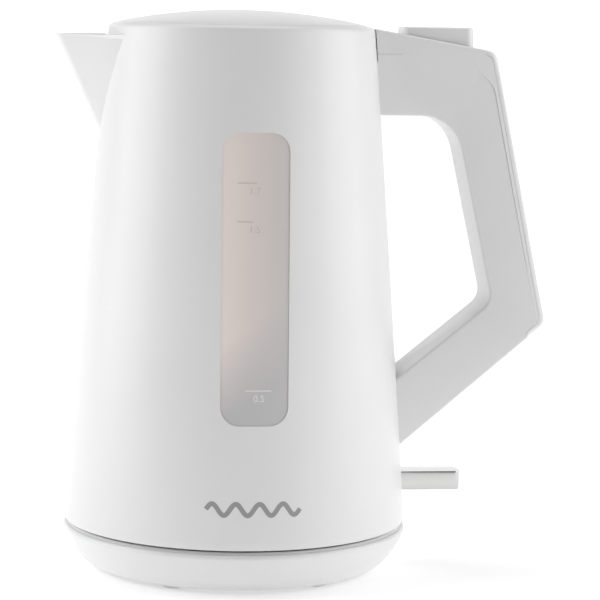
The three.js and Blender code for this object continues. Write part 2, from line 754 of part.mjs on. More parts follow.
function controlHousing() {
  const round = disc(27, [10.8, 24], SMALL_ROUND);
  const arm = block([20, 46], [-12, 12], [10.8, 19]);
  const recess = bar([39, 0, 17.6], [39, 0, 21], 7.4, 24);
  return cut(join(round, arm), recess);
}

/** Jug's half of the connector: a skirt that drops over the base's socket. */
function jugConnector() {
  return turned([
    [0, 8.6],
    [CONNECTOR_R - 1.6, 8.6],
    [CONNECTOR_R - 1.6, 0.8],
    [CONNECTOR_R, 0.8],
    [CONNECTOR_R, 10.4],
    [0, 10.4],
  ], SMALL_ROUND);
}

piece(jug, 'steam_tube', steamTube(), INNER);
piece(jug, 'heating_plate', heatingPlate(), STEEL);
piece(jug, 'plate_seal', ring(LEDGE_R + 0.4, PLATE_R - 0.4, [LEDGE_Z + LEDGE_T + GAP, PLATE_Z - GAP]), SILICONE);
piece(jug, 'heat_spreader', disc(50, [ELEMENT_Z + ELEMENT_TUBE_R + GAP, PLATE_Z - GAP], SMALL_ROUND), STEEL);
piece(jug, 'heating_element', heatingElement(), STEEL);
piece(jug, 'control_housing', controlHousing(), BLACK);
piece(jug, 'bimetal_disc', bar([39, 0, 17.95], [39, 0, 18.55], 6.8, 24), BRASS);
piece(jug, 'jug_connector', jugConnector(), BLACK);
piece(jug, 'connector_pin', disc(1.8, [-3, 8.3], 12), BRASS);
piece(jug, 'connector_neutral_ring', ring(6.6, 7.8, [-3, 8.3], SMALL_ROUND), BRASS);
piece(jug, 'connector_earth_ring', ring(12.9, 14.1, [-3, 8.3], SMALL_ROUND), BRASS);

function jugBottomCover() {
  const screwHoles = spaced(3, 30).map((turn) => {
    const [x, y] = [JUG_SCREW_R * Math.cos(turn), JUG_SCREW_R * Math.sin(turn)];
    return bar([x, y, 0], [x, y, 4], 1.8);
  });
  return cut(ring(CONNECTOR_R + 0.5, BOTTOM_COVER_R, [0.8, 2.8]), ...screwHoles);
}
piece(jug, 'jug_bottom_cover', jugBottomCover(), WHITE_SATIN);

/** Self-tapping screw standing on its head, at a height and a pitch circle. */
function standingScrew(x, y, headZ, tipZ) {
  return join(bar([x, y, headZ], [x, y, headZ + 1.4], 2.9, 14), bar([x, y, headZ + 1], [x, y, tipZ], 1.35, 10));
}

spaced(3, 30).forEach((turn, i) => {
  const [x, y] = [JUG_SCREW_R * Math.cos(turn), JUG_SCREW_R * Math.sin(turn)];
  piece(jug, `jug_screw_${i + 1}`, standingScrew(x, y, -0.9, 14), STEEL);
});

// ---------------------------------------------------------------- switch lever

function switchLever() {
  const paddle = sidePlate(roundedPoints([
    [72, LEVER_Z[0], 0],
    [LEVER_END_X, LEVER_Z[0], 1.6],
    [LEVER_END_X, LEVER_Z[1], 2.4],
    [72, LEVER_Z[1], 0],
  ], 3), LEVER_W, 0.8);
  const arm = block([50, 73], [-3.5, 3.5], [13.4, 17.8]);
  const pivot = [LEVER_PIVOT_X, LEVER_PIVOT_Z];
  const hub = bar([pivot[0], -5.5, pivot[1]], [pivot[0], 5.5, pivot[1]], 3.2, 20);
  const bore = bar([pivot[0], -9, pivot[1]], [pivot[0], 9, pivot[1]], 1.5);
  return cut(join(paddle, arm, hub), bore);
}

function leverBracket() {
  const foot = block([60, 71], [-11, 11], [3.1, 4.7]);
  const ears = [-1, 1].map((side) => {
    const y = [side * 7, side * 9].sort((a, b) => a - b);
    return block([62.5, 69.5], y, [4, 18.8]);
  });
  const bore = bar([LEVER_PIVOT_X, -12, LEVER_PIVOT_Z], [LEVER_PIVOT_X, 12, LEVER_PIVOT_Z], 1.5);
  return cut(join(foot, ...ears), bore);
}

piece(jug, 'switch_lever', switchLever(), CHROME);
const leverPin = bar([LEVER_PIVOT_X, -9.6, LEVER_PIVOT_Z], [LEVER_PIVOT_X, 9.6, LEVER_PIVOT_Z], 1.2);
piece(jug, 'lever_pin', leverPin, STEEL);
piece(jug, 'lever_bracket', leverBracket(), INNER);

// ---------------------------------------------------------------- power base

/** Radius of the base's bowl-shaped side at a height. */
function bowlRadius(z) {
  const depth = (BASE_TOP_Z - z) / (BASE_TOP_Z - BASE_LOW_Z);
  const power = 1.45;
  return BASE_LOW_R + (BASE_R - BASE_LOW_R) * (1 - depth ** power) ** (1 / power);
}

function baseTopShell() {
  const side = [BASE_LOW_Z, 3.5, 7.5, 12].map((z) => [bowlRadius(z), z]);
  const inner = [12, 7, BASE_LOW_Z].map((z) => [bowlRadius(z) - BASE_WALL, z]);
  const shell = turned([
    ...side,
    [BASE_R - 0.3, 17.4],
    [BASE_R - 0.7, BASE_TOP_Z - 0.5],
    [BASE_R - 1.5, BASE_TOP_Z],
    [DISH_R + 1.5, BASE_TOP_Z],
    [DISH_R, DISH_Z],
    [21.5, DISH_Z],
    [21.5, BASE_TOP_Z],
    [SOCKET_R + 0.4, BASE_TOP_Z],
    [SOCKET_R + 0.4, DISH_Z - BASE_WALL],
    [DISH_R + 1.6, DISH_Z - BASE_WALL],
    [DISH_R + 3, BASE_TOP_Z - BASE_WALL],
    [BASE_R - 2.8, BASE_TOP_Z - BASE_WALL - 0.6],
    ...inner,
    side[0],
  ]);
  const bosses = spaced(3, 90).map((turn) => {
    const [x, y] = [BASE_SCREW_R * Math.cos(turn), BASE_SCREW_R * Math.sin(turn)];
    const outer = bar([x, y, 4], [x, y, DISH_Z - 1], 3.4);
    return cut(outer, bar([x, y, 3], [x, y, 11.5], 1.75));
  });
  const cordOutlet = join(
    bar([0, 50, 5], [0, 80, 5], 3.6),
    block([-3.6, 3.6], [50, 80], [0, 5]),
  );
  return cut(join(shell, ...bosses), cordOutlet);
}

function baseBottomCover() {
  const plate = disc(BASE_LOW_R - BASE_WALL - 0.5, [BASE_LOW_Z - 0.2, BASE_LOW_Z + 1.8]);
  const spool = ring(28, 30, [BASE_LOW_Z + 1, 5], SMALL_ROUND);
  const counterbores = spaced(3, 90).map((turn) => {
    const [x, y] = [BASE_SCREW_R * Math.cos(turn), BASE_SCREW_R * Math.sin(turn)];
    return join(bar([x, y, 0], [x, y, BASE_LOW_Z + 0.9], 3.3), bar([x, y, 0], [x, y, 6], 1.75));
  });
  const cordOutlet = block([-3.6, 3.6], [52, 70], [0, 5]);
  return cut(join(plate, spool), ...counterbores, cordOutlet);
}

/** Raised round socket: three nested slots for the jug's pin and rings, and a groove for the shutter. */
function baseSocket() {
  const floor = 12;
  return turned([
    [0, 6.4],
    [24, 6.4],
    [24, 8],
    [SOCKET_R, 8],
    [SOCKET_R, SOCKET_TOP_Z - 0.8],
    [SOCKET_R - 0.4, SOCKET_TOP_Z],
    [18.3, SOCKET_TOP_Z],
    [18.3, 13],
    [16.2, 13],
    [16.2, SOCKET_TOP_Z],
    [15, SOCKET_TOP_Z],
    [15, floor],
    [12, floor],
    [12, SOCKET_TOP_Z],
    [8.6, SOCKET_TOP_Z],
    [8.6, floor],
    [5.8, floor],
    [5.8, SOCKET_TOP_Z],
    [2.6, SOCKET_TOP_Z],
    [2.6, floor],
    [0, floor],
  ], SMALL_ROUND);
}

function shutterSpring() {
  const points = coilPoints(17.25, 5.6, 2, 16).map(([u, v, z]) => [u, v, 13.8 + z]);
  return wire(points, 0.4, 48, 4);
}

piece(base, 'base_top_shell', baseTopShell(), WHITE);
piece(base, 'base_bottom_cover', baseBottomCover(), WHITE_SATIN);
piece(base, 'base_socket', baseSocket(), BLACK);
piece(base, 'socket_shutter', ring(16.6, 17.9, [20.6, SOCKET_TOP_Z + 0.4], SMALL_ROUND), WHITE_SATIN);
piece(base, 'shutter_spring', shutterSpring(), SPRING);
piece(base, 'contact_line', disc(2.2, [12.3, 16.4], 12), BRASS);
piece(base, 'contact_neutral', ring(6.2, 8.2, [12.3, 15.6], SMALL_ROUND), BRASS);
piece(base, 'contact_earth', ring(12.4, 14.6, [12.3, 15.6], SMALL_ROUND), BRASS);

spaced(3, 90).forEach((turn, i) => {
  const [x, y] = [BASE_SCREW_R * Math.cos(turn), BASE_SCREW_R * Math.sin(turn)];
  piece(base, `base_screw_${i + 1}`, standingScrew(x, y, BASE_LOW_Z - 0.6, 10), STEEL);
});

const FOOT_ANGLES = { front_left: -123, front_right: -57, back_right: 57, back_left: 123 };
for (const [place, degrees] of Object.entries(FOOT_ANGLES)) {
  const turn = THREE.MathUtils.degToRad(degrees);
  const [x, y] = [FOOT_PITCH_R * Math.cos(turn), FOOT_PITCH_R * Math.sin(turn)];
  piece(base, `foot_${place}`, bar([x, y, 0], [x, y, BASE_LOW_Z - 0.5], FOOT_PAD_R, 20), FOOT);
}

export default kettle;
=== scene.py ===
import json
import math

import bmesh
import bpy
from mathutils import Matrix, Vector


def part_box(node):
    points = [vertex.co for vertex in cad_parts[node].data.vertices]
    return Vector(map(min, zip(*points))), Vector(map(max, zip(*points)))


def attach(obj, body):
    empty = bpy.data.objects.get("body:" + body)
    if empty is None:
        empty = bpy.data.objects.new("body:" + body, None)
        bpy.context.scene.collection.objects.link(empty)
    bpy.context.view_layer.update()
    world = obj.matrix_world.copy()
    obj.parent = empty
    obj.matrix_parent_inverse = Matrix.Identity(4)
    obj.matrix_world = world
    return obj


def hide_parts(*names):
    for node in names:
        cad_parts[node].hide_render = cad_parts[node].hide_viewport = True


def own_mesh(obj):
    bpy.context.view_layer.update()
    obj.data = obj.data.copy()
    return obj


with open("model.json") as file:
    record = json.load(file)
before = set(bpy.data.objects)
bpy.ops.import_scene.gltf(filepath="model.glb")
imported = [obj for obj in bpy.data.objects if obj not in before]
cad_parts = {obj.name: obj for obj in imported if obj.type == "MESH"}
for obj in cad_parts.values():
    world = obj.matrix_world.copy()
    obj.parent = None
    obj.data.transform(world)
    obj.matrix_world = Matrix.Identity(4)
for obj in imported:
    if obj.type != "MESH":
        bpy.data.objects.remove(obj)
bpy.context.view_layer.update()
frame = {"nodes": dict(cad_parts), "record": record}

# ------------------------------------------------------------ the frame

MM = 0.001
record = frame["record"]
SLOT = {part["node"]: part["material_slot"] for part in record["subparts"]}
BODY = {node: body for body, nodes in record["behaviour"]["bodies"].items() for node in nodes}

base_low, base_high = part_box("base_top_shell")
jug_low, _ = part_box("jug_shell")
AXIS_X = (base_low.x + base_high.x) / 2  # the jug's axis, in metres
JUG_Z = jug_low.z  # the jug's bottom edge, in metres

# Shapes are made in millimetres about the jug's axis. Jug pieces count their height from the
# jug's bottom edge, and base pieces from the table.
IN_JUG = Matrix.Translation((AXIS_X, 0, JUG_Z)) @ Matrix.Scale(MM, 4)
IN_BASE = Matrix.Translation((AXIS_X, 0, 0)) @ Matrix.Scale(MM, 4)

# ------------------------------------------------------------ driving dimensions, mm

ROUND = 192  # facets round the jug
SMALL_ROUND = 96  # facets round the smaller turned pieces

RIM_Z = 218
RIM_R = 58.3
FOOT_R = 76.1
FOOT_CURL = 0.6
FOOT_CURL_Z = 35
WALL = 2.6
RIM_INNER_R = 55.3
RIM_LIP = 8
RIM_ROUND = 2.6
PLATE_Z = 29.3
PLATE_R = 70.5
LEDGE_Z = 24
LEDGE_R = 67
LEDGE_T = 3

BEAK_Z = (169, 212.8)
BEAK_REACH = (61.4, 81.4)
BEAK_NOSE_R = (8, 6.2)
BEAK_HALF_ANGLE = (46.8, 37.9)
BEAK_WALL = 2.2
BEAK_BRIDGE_Z = 208.5

WINDOW_W = 28.6
WINDOW_Z = (52.3, 174)
WINDOW_CORNER = 8
WINDOW_RECESS = 0.35
WINDOW_FLANGE = 3
WINDOW_FLANGE_T = 1.5
GAP = 0.3  # between pieces that touch
FRONT_Y = (-100, -30)  # reach of a cutter through the front of the jug's wall
BEAK_SIDE_X = (-75, -30)  # reach of a cutter through the wall behind the beak

FILTER_Z = (174, 203)
FILTER_HALF = 25
FILTER_BORDER = 4
FILTER_GAP = 0.4  # between the jug's wall and the frame
FILTER_T = 2
MESH_PITCH = 1.1
MESH_WIRE = 0.16  # radius

HANDLE_W = 28
HANDLE_EDGE = 1.1
BACK_EDGE = 2.2
HANDLE_WALL = 2.4
HANDLE_OUTLINE = [
    # x, z, corner radius
    (56, 217.55, 0),
    (56, 179.8, 0),
    (93.15, 179.8, 19),
    (111.65, 97.9, 8),
    (62, 57.2, 0),
    (62, 25.3, 0),
    (136.45, 88.5, 5),
    (110.95, 208.2, 5),
]
CREASE = [(99.5, 202.5, 0), (109.7, 193, 9), (133.1, 83.5, 0)]
CREASE_DEPTH = 0.6  # of the groove where the crease starts
CREASE_STEP = 0.3
CREASE_STRIP = 4.6  # from the crease to the back cover
CREASE_FALL = 0.5  # how far the strip outside the crease then sinks by the back cover
CREASE_FADE = 22  # run over which the crease fades in
CREASE_CLOSE = 24  # run after which the groove closes, over the same run, to a soft step
BACK_COVER_T = 2.3
BACK_COVER_TOP_X = 107
BACK_COVER_LOW = (131, 86)
HINGE_COVER_X = 69
HINGE_COVER_Z = 206.6
SEAM = 0.1

LID_TOP_Z = 224.4
LID_EDGE_Z = 218.5
LID_R = 54.75
LID_ROUND = 1.2
LID_SKIRT_R = 53.6
LID_SKIRT_Z = 212
LID_INNER_Z = 206
HINGE_X = 62.2
HINGE_Z = 214.4
BARREL_R = 2.2
PIN_R = 0.9
PIN_HALF = 12.8
PIN_BORE_R = 1.2
SPRING_ROOM_W = 11.6
TAB_W = 22
NOTCH_W = 22.8
NOTCH_Z = 203.5

BUTTON_X = (70.2, 101.6)
BUTTON_W = 19.2
BUTTON_CORNER = 3.6
BUTTON_Z = (203, 218.4)

LEVER_X = (72, 101.3)
LEVER_Z = (12, 20.4)
LEVER_W = 12.4
LEVER_CORNER = 2.6
LEVER_PIVOT = (66, 15.6)

BASE_R = 76.1
BASE_Z = (1.5, 19.2)
BASE_LOW_R = 63.2
BOWL_POWER = 1.45  # a power of 2 would make the side an ellipse
SEAT_R = 72.9  # middle of the low bead that the jug's edge stands over
SEAT_RISE = 0.9
DISH_R = 65.5
DISH_Z = 15.5
SOCKET_R = 19.4


def wall_radius(z):
    """Outer radius of the jug's wall at a height."""
    curl = FOOT_CURL * max(0, 1 - z / FOOT_CURL_Z) ** 2
    return FOOT_R + (RIM_R - FOOT_R) * z / RIM_Z - curl


def between(pair, share):
    return pair[0] + (pair[1] - pair[0]) * share


def steps(low, high, count):
    return [low + (high - low) * i / count for i in range(count + 1)]


# ------------------------------------------------------------ mesh code


def as_object(name, bm):
    bmesh.ops.recalc_face_normals(bm, faces=bm.faces)
    mesh = bpy.data.meshes.new(name)
    bm.to_mesh(mesh)
    bm.free()
    obj = bpy.data.objects.new(name, mesh)
    bpy.context.scene.collection.objects.link(obj)
    return obj


def loft(name, rings, ring_closed=True, run_closed=False, caps=True):
    """Skin over rings of points. A ring of one point is a pole."""
    bm = bmesh.new()
    rows = [[bm.verts.new(point) for point in ring] for ring in rings]
    pairs = list(zip(rows, rows[1:]))
    if run_closed:
        pairs.append((rows[-1], rows[0]))
    for one, two in pairs:
        count = max(len(one), len(two))
        for i in range(count if ring_closed else count - 1):
            k = (i + 1) % count
            if len(one) == 1:
                bm.faces.new((one[0], two[i], two[k]))
            elif len(two) == 1:
                bm.faces.new((one[i], one[k], two[0]))
            else:
                bm.faces.new((one[i], one[k], two[k], two[i]))
    if caps and not run_closed:
        for row in (rows[0], rows[-1]):
            if len(row) > 2:
                bm.faces.new(row)
    return as_object(name, bm)


def turned(name, profile, facets=ROUND, closed=False):
    """Body of revolution about Z from a list of (radius, height)."""
    rings = []
    for radius, z in profile:
        if radius <= 0:
            rings.append([Vector((0, 0, z))])
            continue
        turns = [2 * math.pi * i / facets for i in range(facets)]
        rings.append([Vector((radius * math.cos(t), radius * math.sin(t), z)) for t in turns])
    return loft(name, rings, run_closed=closed, caps=False)


def arc(centre, radius, first, last, count=6):
    """Points of an arc in degrees, in the plane of a profile or an outline."""
    turns = [math.radians(t) for t in steps(first, last, count)]
    return [(centre[0] + radius * math.cos(t), centre[1] + radius * math.sin(t)) for t in turns]


def rounded(corners, count=8, closed=True):
    """Points of a polygon or path whose corners (u, v, radius) are rounded by arcs."""
    points = []
    total = len(corners)
    for i, (u, v, radius) in enumerate(corners):
        corner = Vector((u, v))
        end = not closed and i in (0, total - 1)
        if radius <= 0 or end:
            points.append(corner)
            continue
        back = (Vector(corners[i - 1][:2]) - corner).normalized()
        ahead = (Vector(corners[(i + 1) % total][:2]) - corner).normalized()
        half = back.angle(ahead) / 2
        centre = corner + (back + ahead).normalized() * (radius / math.sin(half))
        first = corner + back * (radius / math.tan(half)) - centre
        last = corner + ahead * (radius / math.tan(half)) - centre
        turn = math.atan2(first.x * last.y - first.y * last.x, first.dot(last))
        for k in range(count + 1):
            c, s = math.cos(turn * k / count), math.sin(turn * k / count)
            points.append(centre + Vector((first.x * c - first.y * s, first.x * s + first.y * c)))
    return points


def inset(corners, distance):
    """Corners of a polygon moved inwards by a distance (outwards if it is negative)."""
    total = len(corners)
    area = sum(
        corners[i][0] * corners[(i + 1) % total][1] - corners[i][1] * corners[(i + 1) % total][0]
        for i in range(total)
    )
    side = 1 if area > 0 else -1
    edges = []
    for i in range(total):
        start = Vector(corners[i][:2])
        along = (Vector(corners[(i + 1) % total][:2]) - start).normalized()
        edges.append((start + Vector((-along.y, along.x)) * side * distance, along))
    moved = []
    for i in range(total):
        (start_a, along_a), (start_b, along_b) = edges[i - 1], edges[i]
        bend = along_a.x * along_b.y - along_a.y * along_b.x
        offset = start_b - start_a
        t = (offset.x * along_b.y - offset.y * along_b.x) / bend
        corner = start_a + along_a * t
        radius = corners[i][2]
        if radius > 0:
            radius = max(radius - distance * (1 if bend * side > 0 else -1), 0.2)
        moved.append((corner.x, corner.y, radius))
    return moved


def edge_rings(low, high, edge_low, edge_high, count=4):
    """(inset, level) of the rings of a slab whose two edges are rounded."""
    rings = []
    for level, edge, sign in ((low, edge_low, 1), (high, edge_high, -1)):
        turns = [math.radians(t) for t in steps(0, 90, count)] if edge > 0 else [math.pi / 2]
        part = [(edge * (1 - math.sin(t)), level + sign * edge * (1 - math.cos(t))) for t in turns]
        rings += part if sign > 0 else part[::-1]
    return rings


def side_slab(name, corners, y_low, y_high, edge=0.0, count=8):
    """Side-view outline (x, z) made solid between two y, with rounded edges."""
    rings = []
    for distance, y in edge_rings(y_low, y_high, edge, edge):
        outline = rounded(inset(corners, distance) if distance else corners, count)
        rings.append([Vector((p.x, y, p.y)) for p in outline])
    return loft(name, rings)


def top_slab(name, corners, z_low, z_high, edge_low=0.0, edge_high=0.0, flare=0.0, count=8):
    """Top-view outline (x, y) made solid between two heights. flare widens its foot."""
    rings = []
    for distance, z in edge_rings(z_low, z_high, edge_low, edge_high):
        grown = distance - flare * (z_high - z) / (z_high - z_low)
        outline = rounded(inset(corners, grown) if grown else corners, count)
        rings.append([Vector((p.x, p.y, z)) for p in outline])
    return loft(name, rings)


def box_corners(u, v, radius=0.0):
    return [(u[0], v[0], radius), (u[1], v[0], radius), (u[1], v[1], radius), (u[0], v[1], radius)]


def block(name, x, y, z, edge=0.0):
    return top_slab(name, box_corners(x, y), z[0], z[1], edge, edge)


def bar(name, start, end, radius, facets=32, edge=0.0):
    """Round bar between two points, with rounded ends."""
    start, end = Vector(start), Vector(end)
    length = (end - start).length
    turn = (end - start).to_track_quat("Z", "Y")
    rings = []
    for distance, z in edge_rings(0, length, edge, edge):
        ring = []
        for i in range(facets):
            t = 2 * math.pi * i / facets
            spot = Vector((math.cos(t), math.sin(t), 0)) * (radius - distance)
            ring.append(start + turn @ (spot + Vector((0, 0, z))))
        rings.append(ring)
    return loft(name, rings)


def front_slab(name, corners, x_low, x_high, count=8):
    """Front-view outline (y, z) made solid between two x."""
    slab = side_slab(name, corners, -x_high, -x_low, count=count)
    slab.data.transform(Matrix.Rotation(math.radians(90), 4, "Z"))
    return slab


def tube(name, points, radius, facets=12):
    """Round wire along a run of points."""
    points = [Vector(point) for point in points]
    across = (points[1] - points[0]).orthogonal()
    rings = []
    for i, point in enumerate(points):
        along = (points[min(i + 1, len(points) - 1)] - points[max(i - 1, 0)]).normalized()
        across = (across - along * across.dot(along)).normalized()
        up = along.cross(across)
        turns = [2 * math.pi * k / facets for k in range(facets)]
        rings.append([point + (across * math.cos(t) + up * math.sin(t)) * radius for t in turns])
    return loft(name, rings)


def coil(radius, height, turns, per_turn=32):
    """(x, y, z) points of a coil that climbs from z = 0."""
    count = round(turns * per_turn)
    points = []
    for i in range(count + 1):
        t = 2 * math.pi * i / per_turn
        points.append((radius * math.cos(t), radius * math.sin(t), height * i / count))
    return points


def soft_ring(name, inner, outer, z, edge, facets=ROUND):
    """Round ring, or disc when inner is 0, whose edges are rounded."""
    low, high = z
    side = arc((outer - edge, low + edge), edge, -90, 0, 4)
    side += arc((outer - edge, high - edge), edge, 0, 90, 4)
    if inner <= 0:
        return turned(name, [(0, low), *side, (0, high)], facets)
    bore = arc((inner + edge, high - edge), edge, 90, 180, 4)
    bore += arc((inner + edge, low + edge), edge, 180, 270, 4)
    return turned(name, side + bore, facets, closed=True)


def gather(name, pieces):
    """One object out of several closed pieces."""
    bm = bmesh.new()
    for piece in pieces:
        bm.from_mesh(piece.data)
        bpy.data.objects.remove(piece)
    return as_object(name, bm)


def around(count, first_degrees, radius):
    """(x, y) spots equally spaced on a circle."""
    turns = [math.radians(first_degrees + 360 / count * i) for i in range(count)]
    return [(radius * math.cos(t), radius * math.sin(t)) for t in turns]


def carve(obj, how, *tools):
    """Boolean of an object with tools, which are used up."""
    for tool in tools:
        modifier = obj.modifiers.new(how, "BOOLEAN")
        modifier.operation = how
        modifier.solver = "EXACT"
        modifier.object = tool
        graph = bpy.context.evaluated_depsgraph_get()
        mesh = bpy.data.meshes.new_from_object(obj.evaluated_get(graph))
        obj.modifiers.clear()
        obj.data = mesh
        bpy.data.objects.remove(tool)
    return obj


def cut(obj, *tools):
    return carve(obj, "DIFFERENCE", *tools)


def join(obj, *tools):
    return carve(obj, "UNION", *tools)


def common(obj, *tools):
    return carve(obj, "INTERSECT", *tools)


def copy(obj, name):
    twin = obj.copy()
    twin.data = obj.data.copy()
    twin.name = name
    bpy.context.scene.collection.objects.link(twin)
    return twin


def dress(obj, node, place, sharp=32):
    """Put a piece in the frame in place of its CAD node, with that node's finish and body."""
    obj.name = f"{node}_look"
    obj.data.transform(place)
    for face in obj.data.polygons:
        face.use_smooth = True
    obj.data.set_sharp_from_angle(angle=math.radians(sharp))
    obj.data.materials.clear()
    obj.data.materials.append(LOOK[SLOT[node]])
    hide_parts(node)
    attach(obj, BODY[node])
    return obj


# ------------------------------------------------------------ finishes


class Finish:
    """Node material built up from noise: colour drift, roughness drift and grain."""

    def __init__(self, name, colour, roughness, metallic=0.0):
        self.material = bpy.data.materials.new(name)
        self.material.use_nodes = True
        self.tree = self.material.node_tree
        self.shader = self.tree.nodes["Principled BSDF"]
        self.shader.inputs["Metallic"].default_value = metallic
        self.coordinates = self.add("ShaderNodeTexCoord").outputs["Object"]
        self.colour(colour)
        self.roughness(roughness)

    def add(self, kind):
        return self.tree.nodes.new(kind)

    def link(self, one, two):
        self.tree.links.new(one, two)

    def noise(self, scale, stretch=(1, 1, 1), detail=3.0):
        mapping = self.add("ShaderNodeMapping")
        mapping.inputs["Scale"].default_value = stretch
        self.link(self.coordinates, mapping.inputs["Vector"])
        noise = self.add("ShaderNodeTexNoise")
        noise.inputs["Scale"].default_value = scale
        noise.inputs["Detail"].default_value = detail
        self.link(mapping.outputs["Vector"], noise.inputs["Vector"])
        return noise.outputs["Fac"]

    def spread(self, source, low, high, from_low=0.3, from_high=0.7):
        node = self.add("ShaderNodeMapRange")
        node.inputs["From Min"].default_value = from_low
        node.inputs["From Max"].default_value = from_high
        node.inputs["To Min"].default_value = low
        node.inputs["To Max"].default_value = high
        self.link(source, node.inputs["Value"])
        return node.outputs["Result"]

    def mix(self, share, one, two):
        node = self.add("ShaderNodeMix")
        node.data_type = "RGBA"
        self.link(share, node.inputs["Factor"])
        for value, socket in ((one, node.inputs[6]), (two, node.inputs[7])):
            if hasattr(value, "is_linked"):
                self.link(value, socket)
            else:
                socket.default_value = (*value, 1)
        return node.outputs[2]

    def colour(self, colour, drift=0.02):
        """Base colour that drifts a little over a few centimetres."""
        share = self.spread(self.noise(22, detail=2), 0, 1)
        darker = [c * (1 - drift) for c in colour]
        self.link(self.mix(share, darker, colour), self.shader.inputs["Base Color"])

    def roughness(self, roughness):
        """Roughness that varies in broad patches and in fine handling marks."""
        broad = self.spread(self.noise(16, detail=2), roughness * 0.93, roughness * 1.07, 0.2, 0.8)
        fine = self.spread(self.noise(400, detail=3), -0.012, 0.012, 0.2, 0.8)
        total = self.add("ShaderNodeMath")
        total.operation = "ADD"
        self.link(broad, total.inputs[0])
        self.link(fine, total.inputs[1])
        self.link(total.outputs[0], self.shader.inputs["Roughness"])

    def grain(self, scale, height, stretch=(1, 1, 1), detail=2.0):
        """Bump: height in metres."""
        bump = self.add("ShaderNodeBump")
        bump.inputs["Strength"].default_value = 1.0
        bump.inputs["Distance"].default_value = height
        self.link(self.noise(scale, stretch, detail), bump.inputs["Height"])
        self.link(bump.outputs["Normal"], self.shader.inputs["Normal"])


def moulded(name, colour, roughness, grain_scale=600, grain_height=0.000002):
    """Moulded plastic: a faint orange peel under its gloss."""
    finish = Finish(name, colour, roughness)
    finish.shader.inputs["IOR"].default_value = 1.49
    finish.grain(grain_scale, grain_height)
    return finish


def drawn_metal(name, colour, roughness, stretch):
    """Metal whose fine lines run across the axis with the greatest stretch."""
    finish = Finish(name, colour, roughness, metallic=1.0)
    finish.grain(90, 0.00001, stretch, 6.0)
    return finish


WINDOW_LEAN = 0.7  # how much lower the grey starts on the left
WINDOW_GREY_Z = (64, 96)  # the grey ends between these heights, mm
# greyer lower part of the pane, which gets no painted glow
WINDOW_GREY = (0.57, 0.56, 0.565)
# painted shade: the warm colour is lighter on the left and darker on the right, as light falls across the
# pane
WINDOW_WARM_WITH_PAINTED_SHADE = ((0.72, 0.655, 0.63), (0.56, 0.54, 0.525))  # left, right
# painted glow: the pane gives off light of its own, standing in for light that comes through the jug from
# behind, stronger on the left
WINDOW_PAINTED_GLOW = ((0.13, 0.10, 0.09), (0.05, 0.04, 0.035))  # light that comes through, left and right


def window_finish():
    """Frosted see-through plastic: warm above with a painted glow, darker to the right as painted shade, and
    greyer towards the bottom.
    """
    finish = moulded("window_plastic", (0.62, 0.57, 0.54), 0.33)
    position = finish.add("ShaderNodeSeparateXYZ")
    finish.link(finish.coordinates, position.inputs["Vector"])
    lean = finish.add("ShaderNodeMath")
    lean.operation = "MULTIPLY_ADD"
    lean.inputs[1].default_value = -WINDOW_LEAN
    finish.link(position.outputs["X"], lean.inputs[0])
    finish.link(position.outputs["Z"], lean.inputs[2])
    low, high = (JUG_Z + z * MM - WINDOW_LEAN * AXIS_X for z in WINDOW_GREY_Z)
    rise = finish.spread(lean.outputs[0], 0, 1, low, high)
    half = 14 * MM
    across = finish.spread(position.outputs["X"], 0, 1, AXIS_X - half, AXIS_X + half)
    # painted shade: the warm colour darkens from left to right
    above = finish.mix(across, *WINDOW_WARM_WITH_PAINTED_SHADE)
    finish.link(finish.mix(rise, WINDOW_GREY, above), finish.shader.inputs["Base Color"])
    # painted glow: emission stands in for light that comes through the jug from behind, and none is added
    # where the pane turns grey
    lit = finish.mix(across, *WINDOW_PAINTED_GLOW)
    glow = finish.mix(rise, (0, 0, 0), lit)
    finish.link(glow, finish.shader.inputs["Emission Color"])
    finish.shader.inputs["Emission Strength"].default_value = 1.0
    return finish.material


LOOK = {
    "white_gloss_plastic": moulded("white_gloss_plastic", (0.80, 0.80, 0.80), 0.32).material,
    "white_satin_plastic": moulded("white_satin_plastic", (0.82, 0.82, 0.815), 0.42, 900, 0.000008).material,
    "window_plastic": window_finish(),
    "grey_plastic": moulded("grey_plastic", (0.42, 0.42, 0.41), 0.45, 2200, 0.00002).material,
    "black_phenolic": moulded("black_phenolic", (0.03, 0.03, 0.031), 0.42, 2600, 0.00002).material,
    "silicone": moulded("silicone", (0.66, 0.66, 0.65), 0.6, 900, 0.00001).material,
    "foot_rubber": moulded("foot_rubber", (0.80, 0.80, 0.79), 0.75, 2600, 0.00004).material,
    "chrome_plate": drawn_metal("chrome_plate", (0.62, 0.62, 0.615), 0.05, (1, 1, 1)).material,
    "stainless_steel": drawn_metal("stainless_steel", (0.60, 0.60, 0.60), 0.33, (1, 40, 1)).material,
    "spring_steel": drawn_metal("spring_steel", (0.42, 0.42, 0.43), 0.34, (12, 12, 12)).material,
    "brass": drawn_metal("brass", (0.70, 0.50, 0.22), 0.33, (8, 8, 1)).material,
}
MARKS_LIGHT = moulded("printed_marks_light", (0.82, 0.81, 0.80), 0.5).material
MARKS_DARK = moulded("printed_marks_dark", (0.60, 0.58, 0.55), 0.5).material
MOTIF = moulded("printed_motif_grey", (0.33, 0.33, 0.33), 0.5).material

for node, cad in frame["nodes"].items():
    for material_slot in cad.material_slots:
        material_slot.material = LOOK[SLOT[node]]

# ------------------------------------------------------------ jug


def cone(name, distance, z_low, z_high):
    """Solid cone whose side is the jug's outside moved out by a distance."""
    rows = [z_low] + [z for z in (10, 22, FOOT_CURL_Z) if z_low < z < z_high] + [z_high]
    side = [(wall_radius(z) + distance, z) for z in rows]
    return turned(name, [(0, z_low), *side, (0, z_high)])


